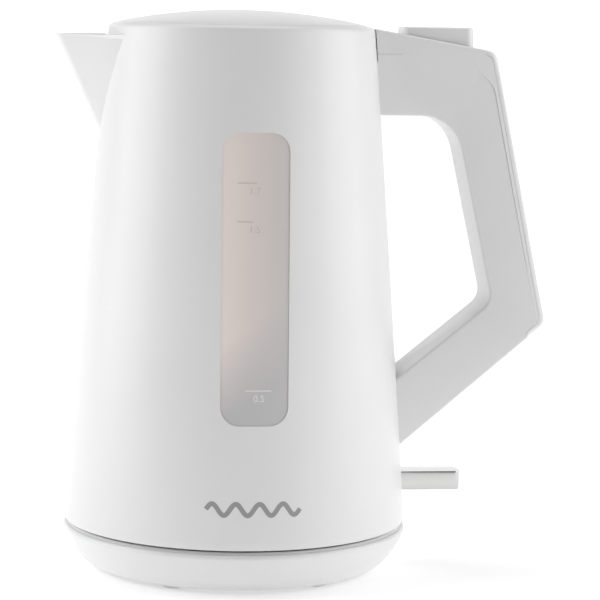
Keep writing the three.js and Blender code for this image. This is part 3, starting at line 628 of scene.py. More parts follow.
def beak_ring(distance, z):
    """V-shaped section of the beak with its rounded nose, moved in by a distance."""
    rise = (z - BEAK_Z[0]) / (BEAK_Z[1] - BEAK_Z[0])
    half = math.radians(between(BEAK_HALF_ANGLE, rise))
    nose_r = between(BEAK_NOSE_R, rise)
    nose_x = -between(BEAK_REACH, rise) + nose_r
    radius = nose_r - distance
    sweep = math.degrees(math.pi / 2 - half)
    nose = arc((nose_x, 0), radius, 180 - sweep, 180 + sweep, 24)
    tail_x = -44
    tail_y = (tail_x - nose_x) * math.tan(half) + radius / math.cos(half)
    return [Vector((x, y, z)) for x, y in [(tail_x, tail_y), *nose, (tail_x, -tail_y)]]


def beak(name, distance, z_low, z_high, lip=0.0):
    rings = [beak_ring(distance, z) for z in steps(z_low, z_high - lip, 8)]
    if lip:
        turns = [math.radians(t) for t in (30, 60, 90)]
        for t in turns:
            inward, up = lip * (1 - math.cos(t)), lip * math.sin(t)
            rings.append(beak_ring(distance + inward, z_high - lip + up))
    return loft(name, rings)


def window_corners():
    return box_corners((-WINDOW_W / 2, WINDOW_W / 2), WINDOW_Z, WINDOW_CORNER)


def jug_shell():
    rows = [0.9, 4, 8, 12, 17, 22, 28, FOOT_CURL_Z, *steps(47, 203, 13)]
    outside = [(0, 0), (wall_radius(0) - 0.8, 0), (wall_radius(0) - 0.25, 0.25)]
    outside += [(wall_radius(z), z) for z in rows]
    outside += arc((RIM_R - RIM_ROUND, RIM_Z - RIM_ROUND), RIM_ROUND, 0, 90, 8) + [(0, RIM_Z)]
    shell = join(turned("jug", outside), beak("beak", 0, BEAK_Z[0] - 4, BEAK_Z[1], 0.25))
    inside = [(0, -1)] + [(wall_radius(z) - WALL, z) for z in (-1, 10, LEDGE_Z)]
    ledge_top = LEDGE_Z + LEDGE_T
    inside += [(LEDGE_R, LEDGE_Z), (LEDGE_R, ledge_top), (wall_radius(LEDGE_Z) - WALL, ledge_top)]
    inside += [(wall_radius(z) - WALL, z) for z in (FOOT_CURL_Z, *steps(60, RIM_Z - RIM_LIP, 10))]
    inside += [(RIM_INNER_R, RIM_Z - RIM_LIP + 1.5), (RIM_INNER_R, RIM_Z - 0.5)]
    inside += [(RIM_INNER_R + 0.5, z) for z in (RIM_Z + 0.01, RIM_Z + 1)] + [(0, RIM_Z + 1)]
    cavity = turned("cavity", inside)
    bridge_z = (BEAK_BRIDGE_Z, RIM_Z + 4)
    bridge = [(wall_radius(z) + d, z) for z, d in zip((*bridge_z, *bridge_z[::-1]), (1, 1, -7, -7))]
    channel = beak("channel", BEAK_WALL, BEAK_Z[0] + 5.5, BEAK_Z[1] + 1)
    channel = cut(channel, turned("bridge", bridge, closed=True))
    window = side_slab("window", window_corners(), *FRONT_Y, count=12)
    notch = block("notch", (48, 70), (-NOTCH_W / 2, NOTCH_W / 2), (NOTCH_Z, RIM_Z + 2))
    lever_y = (-LEVER_W / 2 - 0.5, LEVER_W / 2 + 0.5)
    slot = block("slot", (68, 84), lever_y, (LEVER_Z[0] - 2.4, LEVER_Z[1] + 0.5))
    return cut(shell, cavity, channel, window, notch, slot)


def wall_band(name, outer, inner, z, facets=ROUND):
    """Band of the jug's cone between two distances out from the wall's outside."""
    rows = steps(*z, 16)
    front = [(wall_radius(h) + outer, h) for h in rows]
    back = [(wall_radius(h) + inner, h) for h in reversed(rows)]
    return turned(name, front + back, facets, closed=True)


def water_window():
    z = (WINDOW_Z[0] - 8, WINDOW_Z[1] + 8)
    back = -WALL - GAP - WINDOW_FLANGE_T
    pane = wall_band("pane", -WINDOW_RECESS, back, z, 360)
    pane = common(pane, side_slab("in_opening", inset(window_corners(), 0.03), *FRONT_Y, count=12))
    flange = wall_band("flange", -WALL - GAP, back, z, 360)
    behind = side_slab("behind", inset(window_corners(), -WINDOW_FLANGE), *FRONT_Y, count=12)
    return join(pane, common(flange, behind))


def filter_corners(distance, radius):
    half = FILTER_HALF - distance
    return box_corners((-half, half), (FILTER_Z[0] + distance, FILTER_Z[1] - distance), radius)


def filter_frame():
    front = -WALL - FILTER_GAP
    band = wall_band("frame", front, front - FILTER_T, FILTER_Z)
    outline = front_slab("outline", filter_corners(0.05, 3), *BEAK_SIDE_X)
    opening = front_slab("opening", filter_corners(FILTER_BORDER, 2), *BEAK_SIDE_X)
    return cut(common(band, outline), opening)


def filter_mesh():
    """Woven wires that fill the frame, over and under one another."""
    border = FILTER_BORDER + 0.1
    half = FILTER_HALF - border
    z_low, z_high = FILTER_Z[0] + border, FILTER_Z[1] - border
    pitch = MESH_PITCH
    columns, rows = round(2 * half / pitch), round((z_high - z_low) / pitch)

    def spot(y, z, side):
        radius = wall_radius(z) - WALL - FILTER_GAP - FILTER_T / 2 + side * MESH_WIRE * 0.9
        return (-math.sqrt(radius * radius - y * y), y, z)

    wires = []
    half_rows = list(enumerate(steps(z_low, z_high, rows * 2)))
    half_columns = list(enumerate(steps(-half, half, columns * 2)))
    for i in range(columns + 1):
        y = -half + 2 * half * i / columns
        run = [spot(y, z, math.cos(math.pi * (k / 2 + i))) for k, z in half_rows]
        wires.append(tube(f"upright_{i}", run, MESH_WIRE, 6))
    for k in range(rows + 1):
        z = z_low + (z_high - z_low) * k / rows
        run = [spot(y, z, -math.cos(math.pi * (i / 2 + k))) for i, y in half_columns]
        wires.append(tube(f"cross_{k}", run, MESH_WIRE, 6))
    return gather("mesh", wires)


dress(jug_shell(), "jug_shell", IN_JUG)
dress(water_window(), "water_window", IN_JUG)
dress(filter_frame(), "spout_filter_frame", IN_JUG)
dress(filter_mesh(), "spout_filter_mesh", IN_JUG, sharp=80)


def on_wall(obj, depth):
    """Wrap flat (x, z) artwork, whose y is its thickness, round the front of the jug."""
    for vertex in obj.data.vertices:
        across, thick, z = vertex.co
        radius = wall_radius(z) - depth - thick
        vertex.co = (radius * math.sin(across / radius), -radius * math.cos(across / radius), z)


def printed_line(name, points, width):
    """Stroke of constant width along (x, z) points, thin and slightly raised."""
    rings = []
    for i, point in enumerate(points):
        before, after = points[max(i - 1, 0)], points[min(i + 1, len(points) - 1)]
        along = (after - before).normalized()
        side = Vector((-along.y, along.x)) * width / 2
        a, b = point + side, point - side
        rings.append([Vector((p.x, y, p.y)) for p, y in ((a, 0), (b, 0), (b, -0.06), (a, -0.06))])
    return loft(name, rings)


def numeral(name, text, height, x, z):
    """Generic level number as thin raised print."""
    curve = bpy.data.curves.new(name, "FONT")
    curve.body = text
    curve.size = height / 0.7
    curve.align_x = "CENTER"
    curve.extrude = 0.03
    holder = bpy.data.objects.new(name, curve)
    bpy.context.scene.collection.objects.link(holder)
    graph = bpy.context.evaluated_depsgraph_get()
    mesh = bpy.data.meshes.new_from_object(holder.evaluated_get(graph))
    bpy.data.objects.remove(holder)
    obj = bpy.data.objects.new(name, mesh)
    bpy.context.scene.collection.objects.link(obj)
    mesh.transform(Matrix.Translation((x, 0, z)) @ Matrix.Rotation(math.radians(90), 4, "X"))
    return obj


def apply_print(obj, depth, look):
    on_wall(obj, depth)
    obj.data.transform(IN_JUG)
    obj.data.materials.clear()
    obj.data.materials.append(look)
    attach(obj, "jug")


LEVELS = [
    # height, line from x, line to x, numeral, its x, finish
    (153.1, -7.7, 0.3, "1.7", -0.5, MARKS_DARK),
    (137.1, -7.7, -1.2, "1.5", -0.5, MARKS_DARK),
    (67.0, -4, 7, "0.5", 1.8, MARKS_LIGHT),
]
LINE_W = 0.5
NUMERAL_H = 2.8
NUMERAL_DROP = 4.6  # from the line to the foot of its number
for number, (z, x_low, x_high, text, x, look) in enumerate(LEVELS, 1):
    run = [Vector((u, z)) for u in steps(x_low, x_high, 8)]
    apply_print(printed_line(f"level_line_{number}", run, LINE_W), WINDOW_RECESS, look)
    digits = numeral(f"level_number_{number}", text, NUMERAL_H, x, z - NUMERAL_DROP)
    apply_print(digits, WINDOW_RECESS, look)

MOTIF_W = 40
MOTIF_Z = 17.5
WAVE_LENGTH = 10
WAVE_RISE = 2.4
WAVE_STROKE = 2.0


def wave_point(u):
    return Vector((u, MOTIF_Z + WAVE_RISE * math.sin(2 * math.pi * u / WAVE_LENGTH)))


wave = [wave_point(u) for u in steps(-MOTIF_W / 2, MOTIF_W / 2, 120)]
apply_print(printed_line("wave_motif", wave, WAVE_STROKE), 0, MOTIF)

# ------------------------------------------------------------ handle


def handle_top_z(x):
    (x0, z0, _), (x1, z1, _) = HANDLE_OUTLINE[0], HANDLE_OUTLINE[-1]
    return z0 + (z1 - z0) * (x - x0) / (x1 - x0)


def crease_tool(side):
    """Swept tool that sinks the strip outside the crease, fading in from the crease's start."""
    path = rounded(CREASE, 16, closed=False)
    path = [path[0].lerp(path[1], s) for s in steps(0, 0.9, 6)] + path[1:]
    run = 0
    rings = []
    for i, point in enumerate(path):
        if i:
            run += (point - path[i - 1]).length
        along = (path[min(i + 1, len(path) - 1)] - path[max(i - 1, 0)]).normalized()
        out = Vector((-along.y, along.x))
        share = min(run / CREASE_FADE, 1)
        fade = share * share * (3 - 2 * share)
        close = min(max((run - CREASE_CLOSE) / CREASE_CLOSE, 0), 1)
        brow = CREASE_STEP * fade - 0.04
        groove = brow + CREASE_DEPTH * fade * (1 - close)
        fall = CREASE_FALL * fade
        drop = [(-0.5, -1.2), (-0.08, -0.03), (0.05 + 0.3 * close, groove), (0.42, groove)]
        drop += [(0.5, brow)]
        drop += [(x, brow + fall * x / CREASE_STRIP) for x in (1.5, 3, CREASE_STRIP, 8)]
        drop += [(9, -1.2)]
        ring = []
        for step, sink in drop:
            spot = point + out * step
            ring.append(Vector((spot.x, side * (HANDLE_W / 2 - sink), spot.y)))
        rings.append(ring)
    return loft(f"crease_{side}", rings)


def handle_solid():
    solid = side_slab("handle", HANDLE_OUTLINE, -HANDLE_W / 2, HANDLE_W / 2, HANDLE_EDGE, 12)
    by_jug = cone("by_jug", -0.15, -2, RIM_Z + 8)
    return cut(solid, crease_tool(-1), crease_tool(1), by_jug, cone("by_rim", 0.3, 203, RIM_Z + 8))


def back_strip(name, thickness, trim):
    """Strip along the grip's outer edge, from before the top corner to past the lower one."""
    half = HANDLE_W / 2 + 2
    whole = side_slab(name, inset(HANDLE_OUTLINE, -2), -half, half, count=12)
    core = side_slab("core", inset(HANDLE_OUTLINE, thickness), -half - 1, half + 1, count=12)
    top = (BACK_COVER_TOP_X + trim, handle_top_z(BACK_COVER_TOP_X) + 4)
    low = (BACK_COVER_LOW[0] + trim, BACK_COVER_LOW[1] + trim)
    zone = [(*top, 0), (top[0] - 1, 203, 0), (low[0] - 8, low[1] + 8, 0), (low[0], low[1] - 8, 0)]
    zone += [(150, low[1] - 8, 0), (150, top[1], 0)]
    return common(cut(whole, core), side_slab("zone", zone, -half - 2, half + 2))


def hinge_zone(name, trim):
    return block(name, (50, HINGE_COVER_X), (-20, 20), (HINGE_COVER_Z + trim, RIM_Z + 8))


def button_corners():
    return box_corners(BUTTON_X, (-BUTTON_W / 2, BUTTON_W / 2), BUTTON_CORNER)


def button_well(name):
    return top_slab(name, inset(button_corners(), -0.65), BUTTON_Z[0] - 7, BUTTON_Z[1] + 4)


def hinge_cover(handle):
    cover = common(handle, hinge_zone("hinge_zone", 0))
    half = NOTCH_W / 2
    slot = block("slot", (50, HINGE_X), (-half, half), (200, RIM_Z + 6))
    barrel = bar("barrel", (HINGE_X, -half, HINGE_Z), (HINGE_X, half, HINGE_Z), 3.5, 48)
    spring = block("spring", (50, HINGE_X + 3.4), (-5.9, 5.9), (200, HINGE_Z - 2))
    latch = block("latch", (50, 66.6), (-4.6, 4.6), (200, 208))
    bore = bar("bore", (HINGE_X, -13, HINGE_Z), (HINGE_X, 13, HINGE_Z), PIN_BORE_R)
    return cut(cover, slot, barrel, spring, latch, bore, button_well("well"))


def handle_shell(handle):
    hollow_half = HANDLE_W / 2 - HANDLE_WALL
    hollow = side_slab("hollow", inset(HANDLE_OUTLINE, HANDLE_WALL), -hollow_half, hollow_half)
    hollow = cut(hollow, cone("inner_wall", 0.3 + HANDLE_WALL, -2, RIM_Z + 8))
    latch = block("latch", (55, 67), (-5.4, 5.4), (190, HINGE_COVER_Z + 1))
    strip = back_strip("strip", BACK_COVER_T + SEAM, -SEAM)
    return cut(handle, hollow, strip, hinge_zone("zone", -SEAM), button_well("well"), latch)


handle = handle_solid()
soft_back = side_slab("soft_back", HANDLE_OUTLINE, -HANDLE_W / 2, HANDLE_W / 2, BACK_EDGE, 12)
back_cover = common(copy(handle, "back_cover"), back_strip("strip", BACK_COVER_T, 0), soft_back)
dress(hinge_cover(copy(handle, "cover")), "hinge_cover", IN_JUG)
dress(back_cover, "handle_back_cover", IN_JUG)
dress(handle_shell(handle), "handle_shell", IN_JUG)

# ------------------------------------------------------------ lid


def dome_z(radius):
    return LID_TOP_Z - (LID_TOP_Z - LID_EDGE_Z) * (radius / LID_R) ** 2


def lid_cover():
    top = [(r, dome_z(r)) for r in steps(6, LID_R - 1.5, 10)]
    edge_round = arc((LID_R - LID_ROUND, LID_EDGE_Z - 1.05), LID_ROUND, 72, 0, 6)
    under = [(r, dome_z(r) - 2) for r in (44, 32, 18)]
    dome = turned("dome", [
        (0, LID_TOP_Z), *top, *edge_round,
        (LID_R, LID_EDGE_Z - 1.6), (LID_SKIRT_R, LID_EDGE_Z - 1.8),
        (LID_SKIRT_R, LID_SKIRT_Z), (LID_SKIRT_R - 1.8, LID_SKIRT_Z),
        (LID_SKIRT_R - 1.8, dome_z(LID_SKIRT_R) - 2.4), *under, (0, LID_TOP_Z - 2),
    ])
    tab_corners = [
        (LID_SKIRT_R - 3.5, LID_EDGE_Z - 1.2, 0),
        (LID_SKIRT_R - 3.5, HINGE_Z - 1.2, 0),
        (HINGE_X, HINGE_Z - 1.2, 0),
        (HINGE_X, HINGE_Z + BARREL_R, 0),
        (57.5, HINGE_Z + 2.7, 3),
    ]
    tab = side_slab("tab", tab_corners, -TAB_W / 2, TAB_W / 2)
    barrel = bar("barrel", (HINGE_X, -TAB_W / 2, HINGE_Z), (HINGE_X, TAB_W / 2, HINGE_Z), BARREL_R, 48)
    bore = bar("bore", (HINGE_X, -TAB_W, HINGE_Z), (HINGE_X, TAB_W, HINGE_Z), PIN_BORE_R)
    half = SPRING_ROOM_W / 2
    spring_bore = bar("spring_bore", (HINGE_X, -half, HINGE_Z), (HINGE_X, half, HINGE_Z), 2.08)
    room_z = (HINGE_Z - 5, HINGE_Z + 0.6)
    spring_room = block("room", (HINGE_X - 3.4, HINGE_X + 5), (-half, half), room_z)
    return cut(join(dome, tab, barrel), bore, spring_bore, spring_room)


def lid_inner():
    rim = LID_SKIRT_R - 0.2
    z = LID_INNER_Z
    return turned("inner", [
        (0, z + 3.5), (43, z + 3.5), (44, z + 3.2), (45.4, z + 0.4), (46.4, z),
        (rim - 2, z), (rim - 1.6, z + 0.4), (rim - 1.6, z + 3.3), (rim, z + 3.3),
        (rim, LID_SKIRT_Z - 0.3), (0, LID_SKIRT_Z - 0.3),
    ])


def lid_seal():
    low, high = LID_INNER_Z + 0.2, LID_INNER_Z + 3
    return turned("seal", [
        (LID_SKIRT_R - 1.5, low), (LID_SKIRT_R, low + 0.2), (LID_SKIRT_R + 0.45, low + 0.9),
        (LID_SKIRT_R + 0.7, high), (LID_SKIRT_R - 1.5, high),
    ], closed=True)


dress(lid_cover(), "lid_cover", IN_JUG)
dress(lid_inner(), "lid_inner", IN_JUG)
dress(lid_seal(), "lid_seal", IN_JUG)

pin = bar("pin", (HINGE_X, -PIN_HALF, HINGE_Z), (HINGE_X, PIN_HALF, HINGE_Z), PIN_R, edge=0.2)
dress(pin, "lid_hinge_pin", IN_JUG)


def lid_spring():
    """Torsion spring round the hinge pin: one leg lies under the lid's tab, the other points down."""
    radius, length = 1.7, 8
    turns = [
        (HINGE_X + v, along - length / 2, HINGE_Z - u)
        for u, v, along in coil(radius, length, 3.75)
    ]
    first = [(HINGE_X - 5.6, -4.2, HINGE_Z - 1.9), (HINGE_X - 2, -4.1, HINGE_Z - 1.8)]
    last = [(HINGE_X - 1.75, 4.1, HINGE_Z - 2.5), (HINGE_X - 1.8, 4.3, HINGE_Z - 6)]
    return tube("spring", first + turns + last, 0.33, 10)


dress(lid_spring(), "lid_spring", IN_JUG, sharp=60)

# ------------------------------------------------------------ button and lever

CAM_X = 76  # left face of the button's cam leg
CARRIER_Z = 187
CARRIER_T = 2.2
SPRING_X = 93
POST_R = 2.4  # of the button's spigot and the carrier's post, which hold the spring
RAIL_Y = (4.4, 6.028)


def lid_button():
    """Hollow button with a cam leg that drives the catch and a spigot that holds the spring."""
    low, top = BUTTON_Z
    roof = top - 2
    skin = top_slab("button", inset(button_corners(), 0.2), low, top, 0, 0.7, flare=0.8)
    hollow = top_slab("hollow", inset(button_corners(), 2), low - 1, top - 2.4)
    back_x = CAM_X + 4
    cam_corners = [(CAM_X, roof, 0), (CAM_X, low - 6, 0), (back_x, low - 2, 0), (back_x, roof, 0)]
    cam = side_slab("cam", cam_corners, -3, 3)
    spigot = bar("spigot", (SPRING_X, 0, low - 1), (SPRING_X, 0, roof), POST_R)
    return join(cut(skin, hollow), cam, spigot)


def switch_lever():
    """Paddle on an arm that reaches through the jug's wall to its hub."""
    (x_low, x_high), half = LEVER_X, LEVER_W / 2
    corners = [(x_low, -half, 0), (x_high, -half, LEVER_CORNER)]
    corners += [(x_high, half, LEVER_CORNER), (x_low, half, 0)]
    paddle = top_slab("paddle", corners, *LEVER_Z, 0.5, 0.2)
    x, z = LEVER_PIVOT
    arm = block("arm", (50, 73), (-3.5, 3.5), (z - 2.2, z + 2.2), 0.3)
    hub = bar("hub", (x, -5.5, z), (x, 5.5, z), 3.2, 40, 0.3)
    return cut(join(paddle, arm, hub), bar("bore", (x, -9, z), (x, 9, z), 1.5))


def lid_latch():
    """Sliding catch: a ramp under the button's cam, and a nose through the jug's notch."""
    low, floor = CARRIER_Z + 3.5, CARRIER_Z + 5.5
    tail_x, tail_z = CAM_X + 9, BUTTON_Z[0] + 0.5
    ramp_x, ramp_z = CAM_X - 0.5, BUTTON_Z[0] - 7
    nose_low, nose_top = 205.3, 207.5
    corners = [
        # x, z, corner radius
        (61.4, low, 0),
        (tail_x, low, 0.6),
        (tail_x, tail_z, 0.6),
        (tail_x - 2, tail_z, 0.6),
        (ramp_x, ramp_z, 0),
        (ramp_x, floor, 0.8),
        (63.2, floor, 1),
        (63.2, nose_top, 0.5),
        (57.2, nose_top, 0.6),
        (57.2, nose_low, 0.4),
        (61.4, nose_low, 0.6),
    ]
    return side_slab("latch", corners, -4, 4, 0.25, 4)


def button_carrier():
    """Plate with a post for the button's spring, and two rails that guide the catch."""
    z = CARRIER_Z
    plate = block("plate", (65, 101), (-11, 11), (z, z + CARRIER_T), 0.3)
    post = bar("post", (SPRING_X, 0, z + 1), (SPRING_X, 0, z + 5), POST_R, 40, 0.4)
    near, far = RAIL_Y
    rails = [block("rail", (68, 88), y, (z + 1, z + 6), 0.2) for y in ((-far, -near), (near, far))]
    return join(plate, post, *rails)


def button_spring():
    low, high = CARRIER_Z + CARRIER_T + 0.75, BUTTON_Z[0] - 1.55
    points = [(SPRING_X + u, v, low + z) for u, v, z in coil(3.6, high - low, 4)]
    return tube("spring", points, 0.43, 10)


dress(lid_latch(), "lid_latch", IN_JUG)
dress(button_carrier(), "button_carrier", IN_JUG)
spring = dress(button_spring(), "button_spring", IN_JUG, sharp=60)
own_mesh(spring)
dress(lid_button(), "lid_button", IN_JUG)
dress(switch_lever(), "switch_lever", IN_JUG, sharp=20)

# ------------------------------------------------------------ heater and connector

STEAM_FOOT = (61.5, 0, 24.5)
STEAM_HEAD = (52.4, 0, 197)
CONNECTOR_R = 21.9
PLUG_Z = (-3, 8.3)
BOTTOM_COVER_R = 72.4
JUG_SCREW_R = 68.8  # pitch radius
SCREW_HEAD_R = 2.9
SCREW_HEAD_T = 1.4


def steam_tube():
    foot, head = Vector(STEAM_FOOT), Vector(STEAM_HEAD)
    beyond = (head - foot).normalized() * 2
    return cut(bar("tube", foot, head, 3.5, 48, 0.3), bar("bore", foot - beyond, head + beyond, 2.5, 48))


def heating_plate():
    """Pressed steel floor of the jug, with a shallow ring pressed into it."""
    low, top = PLATE_Z, PLATE_Z + 0.9
    plate = turned("plate", [
        (0, low), (PLATE_R - 0.2, low), (PLATE_R, low + 0.2), (PLATE_R, top - 0.3),
        (PLATE_R - 0.3, top), (57, top), (56, top - 0.1), (55, top - 0.3),
        (52, top - 0.3), (51, top - 0.1), (50, top), (0, top),
    ])
    steam_x = STEAM_FOOT[0]
    return cut(plate, bar("hole", (steam_x, 0, low - 3), (steam_x, 0, top + 3), 4.1, 48))


def jug_connector():
    skirt = CONNECTOR_R - 1.6
    low, roof, top = 0.8, 8.6, 10.4
    return turned("connector", [
        (0, roof), (skirt - 0.5, roof), (skirt, roof - 0.5), (skirt, low + 0.3), (skirt + 0.3, low),
        (CONNECTOR_R - 0.3, low), (CONNECTOR_R, low + 0.3), (CONNECTOR_R, top - 0.3),
        (CONNECTOR_R - 0.3, top), (0, top),
    ], SMALL_ROUND)


def jug_bottom_cover():
    cover = soft_ring("cover", CONNECTOR_R + 0.5, BOTTOM_COVER_R, (0.8, 2.8), 0.35)
    holes = [bar("hole", (x, y, 0), (x, y, 4), 1.8, 32) for x, y in around(3, 30, JUG_SCREW_R)]
    return cut(cover, *holes)


def standing_screw(x, y, head_z, tip_z):
    """Cross-head screw that stands on its head."""
    side = SCREW_HEAD_R
    head = turned("head", [
        (0, head_z), (side - 1.1, head_z), (side - 0.4, head_z + 0.2), (side, head_z + 0.6),
        (side, head_z + SCREW_HEAD_T), (1.35, head_z + SCREW_HEAD_T), (1.35, tip_z - 1.5), (0, tip_z),
    ], 40)
    slots = [
        block("slot", (-u, u), (-v, v), (head_z - 1, head_z + 0.8))
        for u, v in ((1.5, 0.32), (0.32, 1.5))
    ]
    screw = cut(head, *slots)
    screw.data.transform(Matrix.Translation((x, y, 0)))
    return screw


dress(steam_tube(), "steam_tube", IN_JUG)
dress(heating_plate(), "heating_plate", IN_JUG)
seal_z = (LEDGE_Z + LEDGE_T + GAP, PLATE_Z - GAP)
dress(soft_ring("seal", LEDGE_R + 0.4, PLATE_R - 0.4, seal_z, 0.4), "plate_seal", IN_JUG)
dress(jug_connector(), "jug_connector", IN_JUG)
dress(soft_ring("pin", 0, 1.8, PLUG_Z, 0.7, 40), "connector_pin", IN_JUG)
for name, inner, outer in (("neutral", 6.6, 7.8), ("earth", 12.9, 14.1)):
    ring = soft_ring(name, inner, outer, PLUG_Z, 0.4, SMALL_ROUND)
    dress(ring, f"connector_{name}_ring", IN_JUG)
dress(jug_bottom_cover(), "jug_bottom_cover", IN_JUG)
for number, (x, y) in enumerate(around(3, 30, JUG_SCREW_R), 1):
    dress(standing_screw(x, y, -0.9, 14), f"jug_screw_{number}", IN_JUG)

# ------------------------------------------------------------ power base

SOCKET_TOP_Z = 27.2
BASE_SCREW_R = 40  # pitch radius


def bowl_radius(z):
    """Outer radius of the base's side at a height."""
    depth = (BASE_Z[1] - z) / (BASE_Z[1] - BASE_Z[0])
    return BASE_LOW_R + (BASE_R - BASE_LOW_R) * (1 - depth**BOWL_POWER) ** (1 / BOWL_POWER)


def base_top_shell():
    low, top = BASE_Z
    side = [(bowl_radius(z), z) for z in (low, 1.8, 2.4, 3.2, 4.4, 5.8, 7.5, 9.5, 12, 14.5)]
    inner = [(bowl_radius(z) - 2, z) for z in (14, 12, 9, 6, 3.2, low)]
    shell = turned("base", [
        *side,
        *arc((BASE_R - 1.6, top - 1.5), 1.5, -22, 90, 10),
        *arc((SEAT_R + 1.8, top + SEAT_RISE), SEAT_RISE, -90, -150, 5),
        *arc((SEAT_R, top), SEAT_RISE, 45, 175, 10),
        (DISH_R + 1.6, top), (DISH_R + 1.2, top - 0.2),
        (DISH_R + 0.3, DISH_Z + 0.3), (DISH_R - 0.4, DISH_Z),
        (21.9, DISH_Z), (21.5, DISH_Z + 0.4), (21.5, top - 0.4), (21.2, top),
        (SOCKET_R + 0.4, top), (SOCKET_R + 0.4, DISH_Z - 2), (DISH_R + 1.6, DISH_Z - 2),
        (DISH_R + 3, top - 2), (BASE_R - 2.8, top - 2.6), *inner,
    ], closed=True)
    outlet = join(
        bar("outlet", (0, 50, 5), (0, 80, 5), 3.6, 40),
        block("outlet_foot", (-3.6, 3.6), (50, 80), (0, 5)),
    )
    return cut(shell, outlet)


def foot(node):
    """Round pad that fills its CAD node's box."""
    low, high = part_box(node)
    x, y = ((low.x + high.x) / 2 - AXIS_X) / MM, (low.y + high.y) / 2 / MM
    radius = (high.y - low.y) / 2 / MM
    return bar(node, (x, y, 0), (x, y, high.z / MM), radius, 40, 0.3)


def base_bottom_cover():
    low = BASE_Z[0]
    plate = soft_ring("plate", 0, BASE_LOW_R - 2.5, (low - 0.2, low + 1.8), 0.4)
    cutters = [block("cord_outlet", (-3.6, 3.6), (52, 70), (0, 5))]
    for x, y in around(3, 90, BASE_SCREW_R):
        cutters.append(bar("head", (x, y, 0), (x, y, low + 0.9), 3.3, 40))
        cutters.append(bar("shank", (x, y, 0), (x, y, 6), 1.75, 32))
    return cut(join(plate, soft_ring("spool", 28, 30, (low + 1, 5), 0.3, SMALL_ROUND)), *cutters)


def base_socket():
    """Raised round socket: nested slots for the jug's pin and rings, and a groove for the shutter."""
    top, floor, soft = SOCKET_TOP_Z, 12, 0.3
    slots = [(18.3, 16.2, 13), (15, 12, floor), (8.6, 5.8, floor)]
    profile = [(0, 6.4), (24, 6.4), (24, 8), (SOCKET_R, 8), (SOCKET_R, top - 0.9)]
    profile += arc((SOCKET_R - 0.6, top - 0.6), 0.6, 0, 90, 4)
    for outer, inner, low in slots:
        profile += [(outer + soft, top), (outer, top - soft), (outer, low)]
        profile += [(inner, low), (inner, top - soft), (inner - soft, top)]
    profile += [(2.6 + soft, top), (2.6, top - soft), (2.6, floor), (0, floor)]
    return turned("socket", profile, SMALL_ROUND)


def shutter_spring():
    foot_z = 13.8
    return tube("spring", [(u, v, foot_z + z) for u, v, z in coil(17.25, 5.6, 2, 64)], 0.38, 8)


def shutter():
    return soft_ring("shutter", 16.6, 17.9, (20.6, SOCKET_TOP_Z + 0.4), 0.35, SMALL_ROUND)


CONTACT_Z = 12.3
RING_CONTACT_Z = (CONTACT_Z, 15.6)

dress(base_bottom_cover(), "base_bottom_cover", IN_BASE)
dress(base_socket(), "base_socket", IN_BASE)
dress(shutter(), "socket_shutter", IN_BASE)
dress(shutter_spring(), "shutter_spring", IN_BASE, sharp=60)
dress(soft_ring("line", 0, 2.2, (CONTACT_Z, 16.4), 0.6, 40), "contact_line", IN_BASE)
for name, inner, outer in (("neutral", 6.2, 8.2), ("earth", 12.4, 14.6)):
    ring = soft_ring(name, inner, outer, RING_CONTACT_Z, 0.4, SMALL_ROUND)
    dress(ring, f"contact_{name}", IN_BASE)
for number, (x, y) in enumerate(around(3, 90, BASE_SCREW_R), 1):
    dress(standing_screw(x, y, BASE_Z[0] - 0.6, 10), f"base_screw_{number}", IN_BASE)
dress(base_top_shell(), "base_top_shell", IN_BASE)
for node in [name for name in frame["nodes"] if name.startswith("foot_")]:
    dress(foot(node), node, IN_BASE)

# ------------------------------------------------------------ studio

FLOOR_GLOW = 0.3  # a lit table, so that only a faint shadow lies under the kettle


def sweep(name):
    """Pale floor that curves up into a backdrop behind the kettle."""
    back_y, radius, half, front_y, top_z = 1.9, 0.7, 2.2, -2.4, 1.0
    profile = [(front_y, 0), (0, 0)]
    profile += arc((back_y - radius, radius), radius, -90, 0, 24)
    profile.append((back_y, top_z))
    rings = [[Vector((-half, y, z)), Vector((half, y, z))] for y, z in profile]
    floor = loft(name, rings, ring_closed=False, caps=False)
    for face in floor.data.polygons:
        face.use_smooth = True
    look = moulded("floor_pale", (0.90, 0.90, 0.90), 0.7, 500, 0.00002)
    look.shader.inputs["Emission Color"].default_value = (1, 1, 1, 1)
    look.shader.inputs["Emission Strength"].default_value = FLOOR_GLOW
    floor.data.materials.append(look.material)


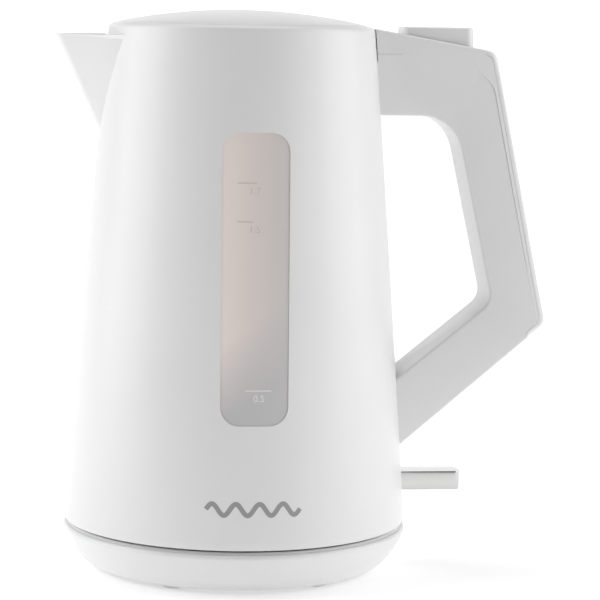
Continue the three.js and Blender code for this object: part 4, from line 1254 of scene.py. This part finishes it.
def soft_light(name, spot, target, size, power):
    light = bpy.data.lights.new(name, "AREA")
    light.shape = "RECTANGLE"
    light.size, light.size_y = size
    light.energy = power
    lamp = bpy.data.objects.new(name, light)
    bpy.context.scene.collection.objects.link(lamp)
    lamp.location = spot
    lamp.rotation_mode = "QUATERNION"
    lamp.rotation_quaternion = (Vector(target) - Vector(spot)).to_track_quat("-Z", "Y")


sweep("floor")
middle = (0, 0, 0.12)
LIGHTS = [
    # name, spot, what it faces, size, power in watts
    ("left_box", (-1.15, 0.08, 0.6), middle, (1.0, 1.2), 9.5),
    ("right_box", (1.15, -0.1, 0.6), middle, (0.9, 1.2), 7.2),
    ("left_fill", (-1.6, -1.15, 0.6), middle, (1.4, 1.4), 0.8),
    ("right_fill", (1.6, -1.15, 0.6), middle, (1.4, 1.4), 6.3),
    ("top_box", (0, 0.2, 2.4), middle, (1.6, 1.6), 14.5),
    ("back_box", (0, 0.5, 1.8), (0, 1.9, 0.2), (2.4, 0.5), 9),
]
for light in LIGHTS:
    soft_light(*light)

world = bpy.data.worlds.new("studio")
world.use_nodes = True
world.node_tree.nodes["Background"].inputs["Color"].default_value = (1, 1, 1, 1)
world.node_tree.nodes["Background"].inputs["Strength"].default_value = 0.2
bpy.context.scene.world = world
bpy.context.scene.view_settings.view_transform = "Standard"


def front_camera():
    """Level standing view from a little left of straight in front, with a long lens."""
    distance, height = 1075, 224.6
    turn, yaw, pitch, roll = (math.radians(a) for a in (6.3, 1.471, 6.756, 1.155))
    ahead = Vector((math.sin(yaw) * math.cos(pitch), math.cos(yaw) * math.cos(pitch), -math.sin(pitch)))
    right = Vector((math.cos(yaw), -math.sin(yaw), 0))
    up = right.cross(ahead)
    tilt, upright = math.sin(roll), math.cos(roll)
    right, up = right * upright + up * tilt, up * upright - right * tilt
    look = Matrix((right, up, -ahead)).transposed().to_4x4()
    about = Matrix.Rotation(-turn, 4, "Z")
    camera = bpy.data.cameras.new("camera")
    camera.sensor_width = 36
    camera.lens = 146.6
    camera.clip_start, camera.clip_end = 0.05, 20
    holder = bpy.data.objects.new("camera", camera)
    bpy.context.scene.collection.objects.link(holder)
    spot = Matrix.Translation(Vector((0, -distance, height)) * MM)
    holder.matrix_world = Matrix.Translation((AXIS_X, 0, JUG_Z)) @ about @ spot @ look
    bpy.context.scene.camera = holder


front_camera()
